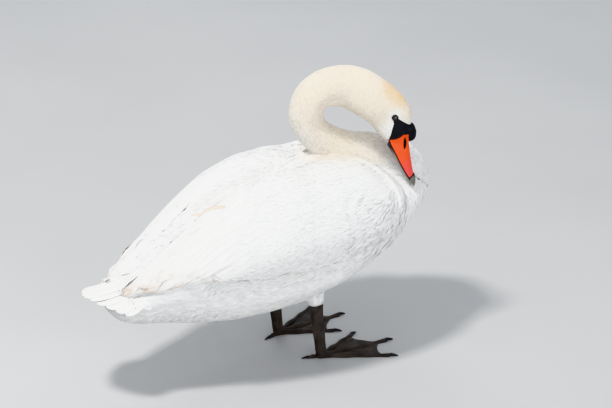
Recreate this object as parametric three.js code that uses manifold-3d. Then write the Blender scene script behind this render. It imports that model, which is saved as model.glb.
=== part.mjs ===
// A mute swan standing at rest on land, with its neck folded back over its shoulders and its bill
// hanging before its breast: a still, life-size museum model. Millimetres, +Z up, +X the way the
// trunk faces, +Y the swan's left. The origin is under the middle of the model, at floor level.
import * as THREE from "three";
import { mergeVertices } from "three/addons/utils/BufferGeometryUtils.js";
import Module from "manifold-3d";

const wasm = await Module();
wasm.setup();

// ---- driving dimensions ----

const GAP = 0.3; // clearance left between touching sub-parts
const ROOM = 0.5; // how far a rounded solid is grown where a neighbour is cut to fit it
const CENTRE = { x: -98.5, y: 0 }; // the middle of the model's box, in the stance frame

// The trunk and the rump, from the breast to under the tail: where each cross-section stands, its
// back, its belly, its widest level and its half-width. The rump is the loose feathering behind.
const TRUNK = {
  x: [250, 241, 220, 190, 140, 70, -10, -90, -170, -240, -305, -350, -382, -402],
  back: [314, 330, 341, 346, 351, 360, 364, 357, 334, 299, 261, 229, 200, 185],
  belly: [296, 278, 257, 231, 185, 147, 117, 102, 102, 112, 125, 132, 143, 163],
  level: [305, 303, 298, 289, 271, 254, 245, 238, 231, 221, 208, 195, 180, 175],
  width: [13, 46, 74, 99, 123, 143, 150, 146, 132, 112, 88, 70, 48, 18],
};

const TRUNK_PARTS = { trunk: { from: 0, to: 8 }, rump: { from: 8, to: 13 } };

// The folded wing on the right side, from the shoulder to the tip: the line of its lower edge, the
// line of its upper edge and how far it bulges out past the chord between them.
const WING = {
  x: [152, 138, 104, 46, -28, -104, -180, -248, -303, -344, -372, -390],
  lowY: [-100, -112, -126, -136, -141, -140, -130, -112, -90, -70, -50, -34],
  lowZ: [276, 258, 240, 230, 226, 224, 225, 228, 227, 219, 210, 204],
  highY: [-80, -60, -46, -38, -20, -14, -13, -12, -11, -10, -12, -16],
  highZ: [312, 338, 368, 388, 374, 364, 337, 300, 262, 233, 218, 211],
  bulge: [18, 37, 49, 57, 67, 70, 56, 37, 21, 12, 7, 4],
};

// The neck and head as one bent tube from the breast to the face: the centre of each
// cross-section, its depth towards the nape and towards the throat, its half-width, and how far
// that stretch is turned towards the swan's right.
const NECK = [
  { at: [184, 0, 276], nape: 50, throat: 44, side: 50, turn: 0 },
  { at: [196, 0, 302], nape: 60, throat: 58, side: 64, turn: 0 },
  { at: [172, 0, 326], nape: 58, throat: 57, side: 61, turn: 0 },
  { at: [131, 0, 349], nape: 50, throat: 49, side: 51, turn: 0 },
  { at: [90, 0, 369], nape: 42, throat: 40, side: 43, turn: 0 },
  { at: [55, 0, 389], nape: 36, throat: 37, side: 38, turn: 2 },
  { at: [28, 0, 411], nape: 31, throat: 34, side: 35, turn: 4 },
  { at: [11, 0, 436], nape: 32, throat: 32, side: 33, turn: 6 },
  { at: [6, -2, 464], nape: 35, throat: 31, side: 33, turn: 10 },
  { at: [14, -5, 490], nape: 35, throat: 31, side: 33, turn: 14 },
  { at: [33, -9, 505], nape: 35, throat: 36, side: 33, turn: 18 },
  { at: [55, -14, 509], nape: 37, throat: 39, side: 33, turn: 22 },
  { at: [76, -22, 507], nape: 40, throat: 40, side: 33, turn: 26 },
  { at: [93, -35, 499], nape: 44, throat: 41, side: 32, turn: 29 },
  { at: [106, -48, 488], nape: 45.5, throat: 40, side: 31, turn: 30 },
  { at: [120, -58, 474], nape: 46, throat: 37, side: 30, turn: 30 },
  { at: [133, -66, 455], nape: 47, throat: 34, side: 27, turn: 30 },
  { at: [143, -72, 435], nape: 41, throat: 32, side: 24.5, turn: 30 },
  { at: [149, -75, 418], nape: 24, throat: 25, side: 21.5, turn: 30 },
  { at: [152, -77, 409], nape: 9, throat: 9, side: 7, turn: 30 },
];
const NECK_PARTS = [
  { name: "neck_lower", from: 0, to: 4.6 },
  { name: "neck_middle", from: 4.6, to: 9.6 },
  { name: "neck_upper", from: 9.6, to: 13.4 },
  { name: "head", from: 13.4, to: 19 },
];

// The bill hangs from the head's frame: its origin is under the corner of the mouth, "forward" runs
// along the bill and "over" points from it towards the crown.
const HEAD = { at: [130, -64, 409], turn: 30, dip: 58 };
const BILL = {
  forward: [-26, -8, 10, 29, 50, 71, 88, 98, 102],
  edge: [12, 10, 6.5, 4.5, 1.8, 0, -0.6, 0, 0],
  culmen: [34, 40, 42, 34.5, 25, 16, 9.5, 6, 2.5],
  width: [10, 13, 15.5, 15.8, 15, 14.5, 13, 9, 4],
  jaw: [-6, -3, -1, -1.5, -3, -4, -4, -3.4, -3],
  jawWidth: [7, 9, 12.5, 14.3, 14, 13.6, 12.2, 8.5, 3.7],
};
const MANDIBLE = {
  upper: { arch: "culmen", width: "width", shift: GAP / 2 },
  lower: { arch: "jaw", width: "jawWidth", shift: -GAP / 2 },
};
const KNOB = { at: [11, 43.5], radii: [18, 15, 19] };
const NOSTRIL = { from: [14, 36, -10], length: 24, tilt: -33, height: 2.4, depth: 6 };
const NAIL = { at: [98, 6], radii: [12, 9, 9] };
const EYE = { at: [-32, 42], side: 18.8, radius: 7.5 };

// The legs: the two feet stand a little apart and the left one a short step behind.
const LEGS = {
  right: { x: 2, y: -62, turn: -4 },
  left: { x: -20, y: 60, turn: 6 },
};
const ANKLE = 108; // height of the ankle joint
const SHANK = { top: 109.6, ankle: 14, middle: 12, foot: 11, slant: 12, flatness: 0.78 };
const THIGH = { top: 165, bottom: 110, wide: 30, narrow: 14.6 };
const FOOT = { web: 3.4, rise: 0.8, toeRise: 9 };
const TOES = {
  inner: { length: 104, swing: 31, half: 6 },
  middle: { length: 136, swing: 2, half: 7 },
  outer: { length: 126, swing: -25, half: 6.5 },
  hind: { length: 26, swing: 168, half: 4.5 },
};
const CLAW = { length: 15, half: 3.6, rise: 6.5 };

// The tail: a short wedge of stiff feathers.
const TAIL = {
  x: [-310, -345, -375, -400, -420, -436, -447],
  level: [218, 213, 209, 207, 205, 203, 202],
  width: [44, 68, 84, 84, 64, 36, 8],
  thick: [24, 21, 16, 12, 8.5, 6, 4],
  droop: [8, 18, 28, 33, 24, 11, 1],
};

// ---- materials ----

const plumage = new THREE.MeshStandardMaterial({ color: "#f4f2ee", roughness: 0.85 });
const headPlumage = new THREE.MeshStandardMaterial({ color: "#eee3cd", roughness: 0.85 });
const orangeHorn = new THREE.MeshStandardMaterial({ color: "#e5541e", roughness: 0.42 });
const blackHorn = new THREE.MeshStandardMaterial({ color: "#17161a", roughness: 0.5 });
const eyeGloss = new THREE.MeshStandardMaterial({ color: "#0d0907", roughness: 0.08 });
const legSkin = new THREE.MeshStandardMaterial({ color: "#3a3431", roughness: 0.6 });

// ---- shapes ----

const UP = new THREE.Vector3(0, 0, 1);

/** The value at place t of a smooth line through evenly spaced values (Catmull-Rom). */
function through(values, t) {
  const last = values.length - 1;
  const i = Math.min(Math.max(Math.floor(t), 0), last - 1);
  const u = t - i;
  const p1 = values[i];
  const p2 = values[i + 1];
  const p0 = i > 0 ? values[i - 1] : 2 * p1 - p2;
  const p3 = i + 2 <= last ? values[i + 2] : 2 * p2 - p1;
  const bend = 2 * p0 - 5 * p1 + 4 * p2 - p3;
  const twist = 3 * p1 - p0 - 3 * p2 + p3;
  return p1 + 0.5 * u * (p2 - p0 + u * (bend + u * twist));
}

/** A closed solid through rings of equal count, capped at both ends. */
function loft(rings) {
  const sides = rings[0].length;
  const points = rings.flat();
  const faces = [];
  rings.slice(1).forEach((_, r) => {
    for (let s = 0; s < sides; s++) {
      const next = (s + 1) % sides;
      const [a, b] = [r * sides + s, r * sides + next];
      const [c, d] = [a + sides, b + sides];
      faces.push(a, b, d, a, d, c);
    }
  });
  [0, rings.length - 1].forEach((r) => {
    const centre = new THREE.Vector3();
    rings[r].forEach((p) => centre.addScaledVector(p, 1 / sides));
    points.push(centre);
    for (let s = 0; s < sides; s++) {
      const [a, b] = [r * sides + s, r * sides + ((s + 1) % sides)];
      faces.push(...(r ? [a, b, points.length - 1] : [b, a, points.length - 1]));
    }
  });
  const geometry = new THREE.BufferGeometry().setFromPoints(points);
  geometry.setIndex(faces);
  return solidOf(geometry);
}

/** A geometry as a manifold solid, turned outwards if its faces point in. */
function solidOf(geometry) {
  const bare = geometry.clone();
  bare.deleteAttribute("normal");
  bare.deleteAttribute("uv");
  const merged = mergeVertices(bare, 1e-4);
  const triVerts = new Uint32Array(merged.index.array);
  const build = () =>
    new wasm.Manifold(
      new wasm.Mesh({ numProp: 3, vertProperties: merged.attributes.position.array, triVerts }),
    );
  const solid = build();
  if (solid.volume() >= 0) return solid;
  triVerts.reverse();
  return build();
}

/** The largest of the bodies that a cut leaves. */
function largest(solid) {
  return solid.decompose().reduce((a, b) => (b.volume() > a.volume() ? b : a));
}

/** A manifold solid as a three.js geometry. */
function geometryOf(solid) {
  const { numProp, vertProperties, triVerts } = solid.getMesh();
  const count = vertProperties.length / numProp;
  const places = new Float32Array(count * 3);
  for (let i = 0; i < count; i++) {
    places.set(vertProperties.subarray(i * numProp, i * numProp + 3), i * 3);
  }
  const geometry = new THREE.BufferGeometry();
  geometry.setAttribute("position", new THREE.BufferAttribute(places, 3));
  geometry.setIndex(new THREE.BufferAttribute(triVerts, 1));
  geometry.computeVertexNormals();
  return geometry;
}

/** A ball stretched along three directions. */
function ellipsoid(centre, axes, radii, grow = 0, detail = [16, 10]) {
  const basis = new THREE.Matrix4().makeBasis(
    ...axes.map((axis, i) => axis.clone().multiplyScalar(radii[i] + grow)),
  );
  const ball = new THREE.SphereGeometry(1, ...detail).applyMatrix4(basis.setPosition(centre));
  return solidOf(ball);
}

// ---- trunk and wings ----

/** A closed ring of points at even angles; place takes the cosine and sine of each. */
function ringOf(sides, place) {
  return Array.from({ length: sides }, (_, s) => {
    const angle = (s / sides) * 2 * Math.PI;
    return place(Math.cos(angle), Math.sin(angle));
  });
}

/** The cross-sections of one stretch of the trunk; grow pushes the surface and its ends outwards. */
function trunkRings(from, to, grow = 0, spacing = 0.5, sides = 26) {
  const steps = Math.ceil((to - from) / spacing);
  return Array.from({ length: steps + 1 }, (_, i) => {
    const t = from + ((to - from) * i) / steps;
    const at = (list) => through(TRUNK[list], t);
    const reach = at("width") + grow;
    const rise = at("back") - at("level") + grow;
    const fall = at("level") - at("belly") + grow;
    const x = at("x") + (i === 0 ? grow : 0) - (i === steps ? grow : 0);
    return ringOf(sides, (cos, sin) => {
      return new THREE.Vector3(x, reach * cos, at("level") + (sin > 0 ? rise : fall) * sin);
    });
  });
}

/** One folded wing's cross-sections; side is -1 on the right and 1 on the left. */
function wingRings(side, grow = 0, steps = 18, sides = 16) {
  return Array.from({ length: steps + 1 }, (_, i) => {
    const t = (i / steps) * (WING.x.length - 1);
    const at = (list) => through(WING[list], t);
    const low = new THREE.Vector3(0, at("lowY"), at("lowZ"));
    const high = new THREE.Vector3(0, at("highY"), at("highZ"));
    const chord = high.clone().sub(low).multiplyScalar(0.5);
    const centre = high.clone().add(low).multiplyScalar(0.5);
    const out = new THREE.Vector3(0, -chord.z, chord.y).setLength(at("bulge") + grow);
    chord.setLength(chord.length() + grow);
    const x = at("x") + (i === 0 ? grow : 0) - (i === steps ? grow : 0);
    return ringOf(sides, (cos, sin) => {
      const p = centre.clone().addScaledVector(chord, cos).addScaledVector(out, sin);
      return new THREE.Vector3(x, -side * Math.min(p.y, -GAP), p.z);
    });
  });
}

/** The tail's cross-sections. */
function tailRings(steps = 8, sides = 12) {
  return Array.from({ length: steps + 1 }, (_, i) => {
    const t = (i / steps) * (TAIL.x.length - 1);
    const at = (list) => through(TAIL[list], t);
    return ringOf(sides, (cos, sin) => {
      const z = at("level") - at("droop") * cos ** 2 + (at("thick") / 2) * sin;
      return new THREE.Vector3(at("x"), at("width") * cos, z);
    });
  });
}

// ---- neck and head ----

const neckAt = (pick, t) => through(NECK.map(pick), t);

/** The frame of the neck tube at place t: its centre, and the ways nape and left. */
function neckFrame(t) {
  const place = (u) => new THREE.Vector3(...[0, 1, 2].map((k) => neckAt((s) => s.at[k], u)));
  const step = 0.02;
  const along = place(t + step).sub(place(t - step)).normalize();
  const turn = THREE.MathUtils.degToRad(neckAt((s) => s.turn, t));
  const left = new THREE.Vector3(Math.sin(turn), Math.cos(turn), 0);
  left.addScaledVector(along, -left.dot(along)).normalize();
  return { centre: place(t), along, left, nape: along.clone().cross(left) };
}

/** The rings of one stretch of the neck tube; its flat ends stand back by half the gap. */
function neckRings(from, to, spacing = 0.48, sides = 16) {
  const steps = Math.ceil((to - from) / spacing);
  const last = NECK.length - 1;
  return Array.from({ length: steps + 1 }, (_, i) => {
    const t = from + ((to - from) * i) / steps;
    const { centre, along, left, nape } = neckFrame(t);
    if (i === 0 && from > 0) centre.addScaledVector(along, GAP / 2);
    if (i === steps && to < last) centre.addScaledVector(along, -GAP / 2);
    const over = neckAt((s) => s.nape, t);
    const under = neckAt((s) => s.throat, t);
    const wide = neckAt((s) => s.side, t);
    return ringOf(sides, (cos, sin) => {
      const p = centre.clone().addScaledVector(left, wide * cos);
      return p.addScaledVector(nape, (sin > 0 ? over : under) * sin);
    });
  });
}

const headTurn = THREE.MathUtils.degToRad(HEAD.turn);
const headDip = THREE.MathUtils.degToRad(HEAD.dip);
const ahead = new THREE.Vector3(Math.cos(headTurn), -Math.sin(headTurn), 0);
const headLeft = new THREE.Vector3(Math.sin(headTurn), Math.cos(headTurn), 0);
const forward = ahead.clone().multiplyScalar(Math.cos(headDip)).setZ(-Math.sin(headDip));
const over = ahead.clone().multiplyScalar(Math.sin(headDip)).setZ(Math.cos(headDip));

/** A place in the head's frame: forward along the bill, over towards the crown, and left. */
function headPlace(f, g, left = 0) {
  return new THREE.Vector3(...HEAD.at)
    .addScaledVector(forward, f)
    .addScaledVector(over, g)
    .addScaledVector(headLeft, left);
}

/** One mandible: arched away from the cutting edge, flat across it and shifted off it. */
function mandible({ arch, width, shift }, grow = 0, steps = 11, sides = 10) {
  const rings = [];
  for (let i = 0; i <= steps; i++) {
    const t = (i / steps) * (BILL.forward.length - 1);
    const f = through(BILL.forward, t) + (i === steps ? grow : 0) - (i === 0 ? grow : 0);
    const edge = through(BILL.edge, t) + shift;
    const rise = through(BILL[arch], t);
    const wide = through(BILL[width], t) + grow;
    const away = Math.sign(rise);
    rings.push(
      Array.from({ length: sides }, (_, s) => {
        const angle = (s / (sides - 1)) * Math.PI;
        const g = edge - away * grow + (rise - edge + 2 * away * grow) * Math.sin(angle) ** 0.85;
        return headPlace(f, g, wide * Math.cos(angle));
      }),
    );
  }
  return loft(rings);
}

const headAxes = [forward, headLeft, over];

function knob(grow = 0) {
  return ellipsoid(headPlace(...KNOB.at), headAxes, KNOB.radii, grow, [13, 8]);
}

function eye(side, grow = 0) {
  const centre = headPlace(...EYE.at, side * EYE.side);
  const radii = [EYE.radius, EYE.radius, EYE.radius];
  return ellipsoid(centre, headAxes, radii, grow, [10, 7]);
}

/** The cutter for one side's nostril, a long slot lying along the bill. */
function nostril(side) {
  const { from, length, tilt, height, depth } = NOSTRIL;
  const angle = THREE.MathUtils.degToRad(tilt);
  const long = forward.clone().multiplyScalar(Math.cos(angle)).addScaledVector(over, Math.sin(angle));
  const high = long.clone().cross(headLeft).normalize();
  const centre = headPlace(from[0], from[1], -side * from[2]).addScaledVector(long, length / 2);
  return ellipsoid(centre, [long, headLeft, high], [length / 2, depth, height], 0, [8, 5]);
}

// ---- legs and feet ----

/** A horizontal ring of the leg at height z. */
function legRing(x, y, z, deep, wide, sides = 12) {
  return ringOf(sides, (cos, sin) => new THREE.Vector3(x + deep * cos, y + wide * sin, z));
}

/** The feathered lower thigh, from inside the belly down to the ankle. */
function thigh({ x, y }) {
  const steps = 8;
  return loft(
    Array.from({ length: steps + 1 }, (_, i) => {
      const t = i / steps;
      const size = THREE.MathUtils.lerp(THIGH.narrow, THIGH.wide, t);
      const z = THREE.MathUtils.lerp(THIGH.bottom, THIGH.top, t);
      const inward = 1 - 0.14 * t;
      return legRing(x - SHANK.slant - 14 * t, y * inward, z, size * 1.15, size * 0.9);
    }),
  );
}

/** The bare shank, from the ankle joint down into the foot. */
function shank({ x, y }) {
  const { foot: base, middle, ankle } = SHANK;
  const heights = [FOOT.toeRise + 4, 30, 55, 80, 96, ANKLE, SHANK.top];
  const deep = [base, middle, middle, middle + 1, ankle, ankle, ankle - 4];
  const steps = 9;
  return loft(
    Array.from({ length: steps + 1 }, (_, i) => {
      const t = (i / steps) * (heights.length - 1);
      const z = through(heights, t);
      const size = through(deep, t);
      return legRing(x - (SHANK.slant * z) / ANKLE, y, z, size, size * SHANK.flatness);
    }),
  );
}

/** A toe: a half-round bar with a flat sole, from the foot's joint outwards. */
function toe({ length, swing, half }) {
  const steps = 5;
  const sides = 5;
  const turn = THREE.MathUtils.degToRad(swing);
  return loft(
    Array.from({ length: steps + 1 }, (_, i) => {
      const t = i / steps;
      const knuckle = 1 + 0.13 * Math.cos(t * 6 * Math.PI);
      const wide = half * (1 - 0.38 * t) * (t === 0 ? 0.6 : knuckle);
      const tall = FOOT.toeRise * (1 - 0.42 * t) * (t === 0 ? 0.6 : knuckle);
      return Array.from({ length: sides }, (_, s) => {
        const angle = (s / (sides - 1)) * Math.PI;
        const p = new THREE.Vector3(length * t, wide * Math.cos(angle), tall * Math.sin(angle));
        return p.applyAxisAngle(UP, turn);
      });
    }),
  );
}

/** The web between the three front toes, its front edge hollowed between them. */
function web() {
  const outline = new THREE.Shape();
  const tip = ({ length, swing }, share = 0.9) => {
    const turn = THREE.MathUtils.degToRad(swing);
    return new THREE.Vector2(Math.cos(turn), Math.sin(turn)).multiplyScalar(length * share);
  };
  const [outer, middle, inner] = [TOES.outer, TOES.middle, TOES.inner].map((t) => tip(t));
  const hollow = (a, b) => a.clone().add(b).multiplyScalar(0.5 * 0.86);
  outline.moveTo(0, 0);
  outline.lineTo(outer.x, outer.y);
  outline.quadraticCurveTo(...hollow(outer, middle).toArray(), middle.x, middle.y);
  outline.quadraticCurveTo(...hollow(middle, inner).toArray(), inner.x, inner.y);
  outline.closePath();
  const sheet = new THREE.ExtrudeGeometry(outline, {
    depth: FOOT.web - FOOT.rise,
    bevelEnabled: false,
    curveSegments: 5,
  });
  return solidOf(sheet.translate(0, 0, FOOT.rise));
}

/** A claw lying along its toe's line, past the toe's end, with its point turned down. */
function claw({ length, swing, half }) {
  const steps = 3;
  const turn = THREE.MathUtils.degToRad(swing);
  const size = Math.min(1, half / 6);
  return loft(
    Array.from({ length: steps + 1 }, (_, i) => {
      const t = i / steps;
      const along = length + GAP + CLAW.length * size * t;
      const wide = CLAW.half * size * (1 - 0.8 * t);
      const top = CLAW.rise * size * (1 - 0.72 * t * t);
      const bottom = 0.9 * (1 - t);
      return ringOf(6, (cos, sin) => {
        const z = bottom + ((top - bottom) * (1 + sin)) / 2;
        return new THREE.Vector3(along, wide * cos, z).applyAxisAngle(UP, turn);
      });
    }),
  );
}

/** Toes, web and joint as one foot, in its own frame: toes forward, sole at zero. */
function foot() {
  const joint = loft([
    legRing(0, 0, 0, 9, 8),
    legRing(0, 0, FOOT.toeRise, 11, 9.5),
    legRing(-0.8, 0, FOOT.toeRise + 4 - GAP, 10, 8),
  ]);
  let whole = web().add(joint);
  Object.values(TOES).forEach((t) => {
    whole = whole.add(toe(t));
  });
  return whole;
}

// ---- the model ----

const swan = new THREE.Group();
const model = new THREE.Group();
model.position.set(-CENTRE.x, -CENTRE.y, 0);
swan.add(model);

function addPart(name, solid, material, parent = model) {
  const mesh = new THREE.Mesh(geometryOf(largest(solid)), material);
  mesh.name = name;
  parent.add(mesh);
  return mesh;
}

const sides = { right: -1, left: 1 };
const trunkEnd = TRUNK.x.length - 1;
const trunkRoom = loft(trunkRings(0, trunkEnd, ROOM));
const wingRoom = {};
for (const [name, side] of Object.entries(sides)) wingRoom[name] = loft(wingRings(side, ROOM));

// The trunk and the rump meet at a flat section.
for (const [name, { from, to }] of Object.entries(TRUNK_PARTS)) {
  const rings = trunkRings(from, to);
  if (from > 0) rings[0].forEach((p) => p.setX(p.x - GAP / 2));
  if (to < trunkEnd) rings.at(-1).forEach((p) => p.setX(p.x + GAP / 2));
  addPart(name, loft(rings), plumage);
}

// The wings lie on the trunk, and the tail comes out between the rump and the wing tips.
for (const [name, side] of Object.entries(sides)) {
  addPart(`wing_${name}`, loft(wingRings(side)).subtract(trunkRoom), plumage);
}
const tail = loft(tailRings()).subtract(trunkRoom);
addPart("tail", tail.subtract(wingRoom.right).subtract(wingRoom.left), plumage);

// The neck rises from the trunk between the shoulders, and the head ends it.
for (const { name, from, to } of NECK_PARTS) {
  const solid = loft(neckRings(from, to)).subtract(trunkRoom);
  const fitted = solid.subtract(wingRoom.right).subtract(wingRoom.left);
  if (name !== "head") addPart(name, fitted, name === "neck_lower" ? plumage : headPlumage);
}
const head = loft(neckRings(NECK_PARTS.at(-1).from, NECK_PARTS.at(-1).to))
  .subtract(mandible(MANDIBLE.upper, 2 * GAP))
  .subtract(mandible(MANDIBLE.lower, 2 * GAP))
  .subtract(knob(GAP))
  .subtract(eye(-1, GAP))
  .subtract(eye(1, GAP));
addPart("head", head, headPlumage);

// The bill: nail, upper and lower mandible, and the knob over its root.
const upperWhole = mandible(MANDIBLE.upper);
const nailAt = headPlace(...NAIL.at);
const nail = upperWhole.intersect(ellipsoid(nailAt, headAxes, NAIL.radii));
const upper = upperWhole
  .subtract(ellipsoid(nailAt, headAxes, NAIL.radii, GAP))
  .subtract(nostril(-1))
  .subtract(nostril(1));
addPart("bill_upper", upper, orangeHorn);
addPart("bill_nail", nail, blackHorn);
addPart("bill_lower", mandible(MANDIBLE.lower), blackHorn);
addPart("bill_knob", knob().subtract(mandible(MANDIBLE.upper, GAP)), blackHorn);
addPart("eye_right", eye(-1), eyeGloss);
addPart("eye_left", eye(1), eyeGloss);

// The legs: each shank ends under its thigh, and each foot turns about its own joint.
for (const [name, leg] of Object.entries(LEGS)) {
  addPart(`thigh_${name}`, thigh(leg).subtract(trunkRoom), plumage);
  addPart(`shank_${name}`, shank(leg), legSkin);
  const stand = new THREE.Group();
  stand.position.set(leg.x, leg.y, 0);
  stand.rotation.z = THREE.MathUtils.degToRad(leg.turn);
  stand.scale.y = name === "left" ? -1 : 1;
  model.add(stand);
  addPart(`foot_${name}`, foot(), legSkin, stand);
  for (const [toeName, size] of Object.entries(TOES)) {
    addPart(`claw_${name}_${toeName}`, claw(size), blackHorn, stand);
  }
}

export default swan;
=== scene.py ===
"""A mute swan at rest on land, as a life-size museum model: one skin, its plumage laid on it feather
by feather, the bill, the eyes and the bare legs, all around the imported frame."""

import math

import bpy
import numpy as np
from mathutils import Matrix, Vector
from mathutils.bvhtree import BVHTree


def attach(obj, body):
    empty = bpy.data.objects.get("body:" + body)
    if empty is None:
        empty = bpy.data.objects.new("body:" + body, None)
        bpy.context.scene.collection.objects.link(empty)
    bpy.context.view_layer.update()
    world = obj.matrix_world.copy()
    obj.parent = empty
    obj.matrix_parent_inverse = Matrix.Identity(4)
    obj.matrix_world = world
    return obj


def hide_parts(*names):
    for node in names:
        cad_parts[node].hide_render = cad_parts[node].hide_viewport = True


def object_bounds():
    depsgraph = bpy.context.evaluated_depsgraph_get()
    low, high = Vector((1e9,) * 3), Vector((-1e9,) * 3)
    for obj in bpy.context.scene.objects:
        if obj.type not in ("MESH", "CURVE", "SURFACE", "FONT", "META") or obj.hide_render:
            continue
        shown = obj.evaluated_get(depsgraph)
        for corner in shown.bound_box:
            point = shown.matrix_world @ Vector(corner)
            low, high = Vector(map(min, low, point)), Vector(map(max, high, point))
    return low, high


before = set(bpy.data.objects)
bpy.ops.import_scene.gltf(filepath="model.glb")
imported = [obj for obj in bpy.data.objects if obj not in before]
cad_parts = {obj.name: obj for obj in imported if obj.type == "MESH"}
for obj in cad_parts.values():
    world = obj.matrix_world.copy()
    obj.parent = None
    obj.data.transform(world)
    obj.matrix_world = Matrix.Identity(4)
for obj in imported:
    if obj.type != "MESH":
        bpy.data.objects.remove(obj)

bl_info = {
    "name": "Mute swan model",
    "version": (1, 0, 0),
    "blender": (4, 5, 0),
    "location": "View3D > Sidebar > Swan",
    "description": "Builds the skin, plumage, bill, eyes and legs of a life-size mute swan",
    "category": "Add Mesh",
}

CAD_BOX = [list(map(float, corner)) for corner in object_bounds()]

# ---- sizes, in millimetres, in the stance frame: the origin is on the floor between the legs,
# +X the way the trunk faces, +Y the swan's left ----

STANCE = np.array([98.5, 0.0, 0.0])  # the stance frame's origin in the frame of the row
MM = 0.001

# the trunk from breast to rump: heights of the back, the belly and the widest level, and half-width
TRUNK = {
    "x": [250, 241, 220, 190, 140, 70, -10, -90, -170, -240, -305, -350, -382, -402],
    "back": [314, 330, 341, 346, 351, 360, 364, 357, 334, 299, 261, 229, 200, 185],
    "belly": [296, 278, 257, 231, 185, 147, 117, 102, 102, 112, 125, 132, 143, 163],
    "level": [305, 303, 298, 289, 271, 254, 245, 238, 231, 221, 208, 195, 180, 175],
    "width": [13, 46, 74, 99, 123, 143, 150, 146, 132, 112, 88, 70, 48, 18],
}
# the right folded wing from its bend to its tip: its low and high edges, and how far it bulges
WING = {
    "x": [152, 138, 104, 46, -28, -104, -180, -248, -303, -344, -372, -390],
    "low_y": [-100, -112, -126, -136, -141, -140, -130, -112, -90, -70, -50, -34],
    "low_z": [276, 258, 240, 230, 226, 224, 225, 228, 227, 219, 210, 204],
    "high_y": [-80, -60, -46, -38, -20, -14, -13, -12, -11, -10, -12, -16],
    "high_z": [312, 338, 368, 388, 374, 364, 337, 300, 262, 233, 218, 211],
    "bulge": [18, 37, 49, 57, 67, 70, 56, 37, 21, 12, 7, 4],
}
# the neck and head as one bent tube: centre (x, y, z), depth to nape and throat, half-width, turn
NECK = np.array([
    [184, 0, 276, 50, 44, 50, 0],
    [196, 0, 302, 60, 58, 64, 0],
    [172, 0, 326, 58, 57, 61, 0],
    [131, 0, 349, 50, 49, 51, 0],
    [90, 0, 369, 42, 40, 43, 0],
    [55, 0, 389, 36, 37, 38, 2],
    [28, 0, 411, 31, 34, 35, 4],
    [11, 0, 436, 32, 32, 33, 6],
    [6, -2, 464, 35, 31, 33, 10],
    [14, -5, 490, 35, 31, 33, 14],
    [33, -9, 505, 35, 36, 33, 18],
    [55, -14, 509, 37, 39, 33, 22],
    [76, -22, 507, 40, 40, 33, 26],
    [93, -35, 499, 44, 41, 32, 29],
    [106, -48, 488, 45.5, 40, 31, 30],
    [120, -58, 474, 46, 37, 30, 30],
    [133, -66, 455, 47, 34, 27, 30],
    [143, -72, 435, 41, 32, 24.5, 30],
    [149, -75, 418, 24, 25, 21.5, 30],
    [152, -77, 409, 9, 9, 7, 30],
], float)
# the head's frame lies on the mouth's line below the eyes: forward runs along the bill, over to the
# crown; the head is turned to the right and dipped, in degrees
HEAD = {"at": (130, -64, 409), "turn": 30, "dip": 58}
# the bill from its root to its tip, in the head's frame
BILL = {
    "forward": [-26, -8, 10, 29, 50, 71, 88, 98, 102],
    "edge": [12, 10, 6.5, 4.5, 1.8, 0, -0.6, 0, 0],
    "culmen": [34, 40, 42, 34.5, 25, 16, 9.5, 6, 2.5],
    "width": [10, 13, 15.5, 15.8, 15, 14.5, 13, 9, 4],
    "jaw": [-6, -3, -1, -1.5, -3, -4, -4, -3.4, -3],
    "jaw_width": [7, 9, 12.5, 14.3, 14, 13.6, 12.2, 8.5, 3.7],
}
# each mandible: its arch, its half-width, its gap from the mouth's line and where along the bill it starts
MANDIBLES = {"upper": ("culmen", "width", 0.15, 0), "lower": ("jaw", "jaw_width", -0.15, 2.2)}
NOSTRIL = {"from": (14, 36), "length": 24, "tilt": -33, "height": 2.6, "depth": 3.2}
NAIL = {"root": 87, "tip": 108.5, "height": 10.2, "half": 9.5}
EYE = {"at": (-32, 42), "side": 18.8, "radius": 7.5}
# the legs where they stand, with their feet's turn in degrees, and the forms of each from top to toe
LEGS = {"right": {"x": 2, "y": -62, "turn": -4}, "left": {"x": -20, "y": 60, "turn": 6}}
ANKLE = 108
SHANK = {"top": 109.6, "ankle": 14, "middle": 12, "foot": 11, "slant": 12, "flatness": 0.78}
THIGH = {"top": 165, "bottom": 110, "wide": 30, "narrow": 14.6}
FOOT = {"web": 3.4, "rise": 0.8, "toe": 9}
TOES = {
    "inner": {"length": 104, "swing": 31, "half": 6},
    "middle": {"length": 136, "swing": 2, "half": 7},
    "outer": {"length": 126, "swing": -25, "half": 6.5},
    "hind": {"length": 26, "swing": 168, "half": 4.5},
}
CLAW = {"length": 15, "half": 3.6, "rise": 6.5}
# the closed tail from its root to its tip
TAIL = {
    "x": [-310, -345, -375, -400, -420, -436, -447],
    "level": [218, 213, 209, 207, 205, 203, 202],
    "width": [44, 68, 84, 84, 64, 36, 8],
    "thick": [24, 21, 16, 12, 8.5, 6, 4],
    "droop": [8, 18, 28, 33, 24, 11, 1],
}
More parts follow.
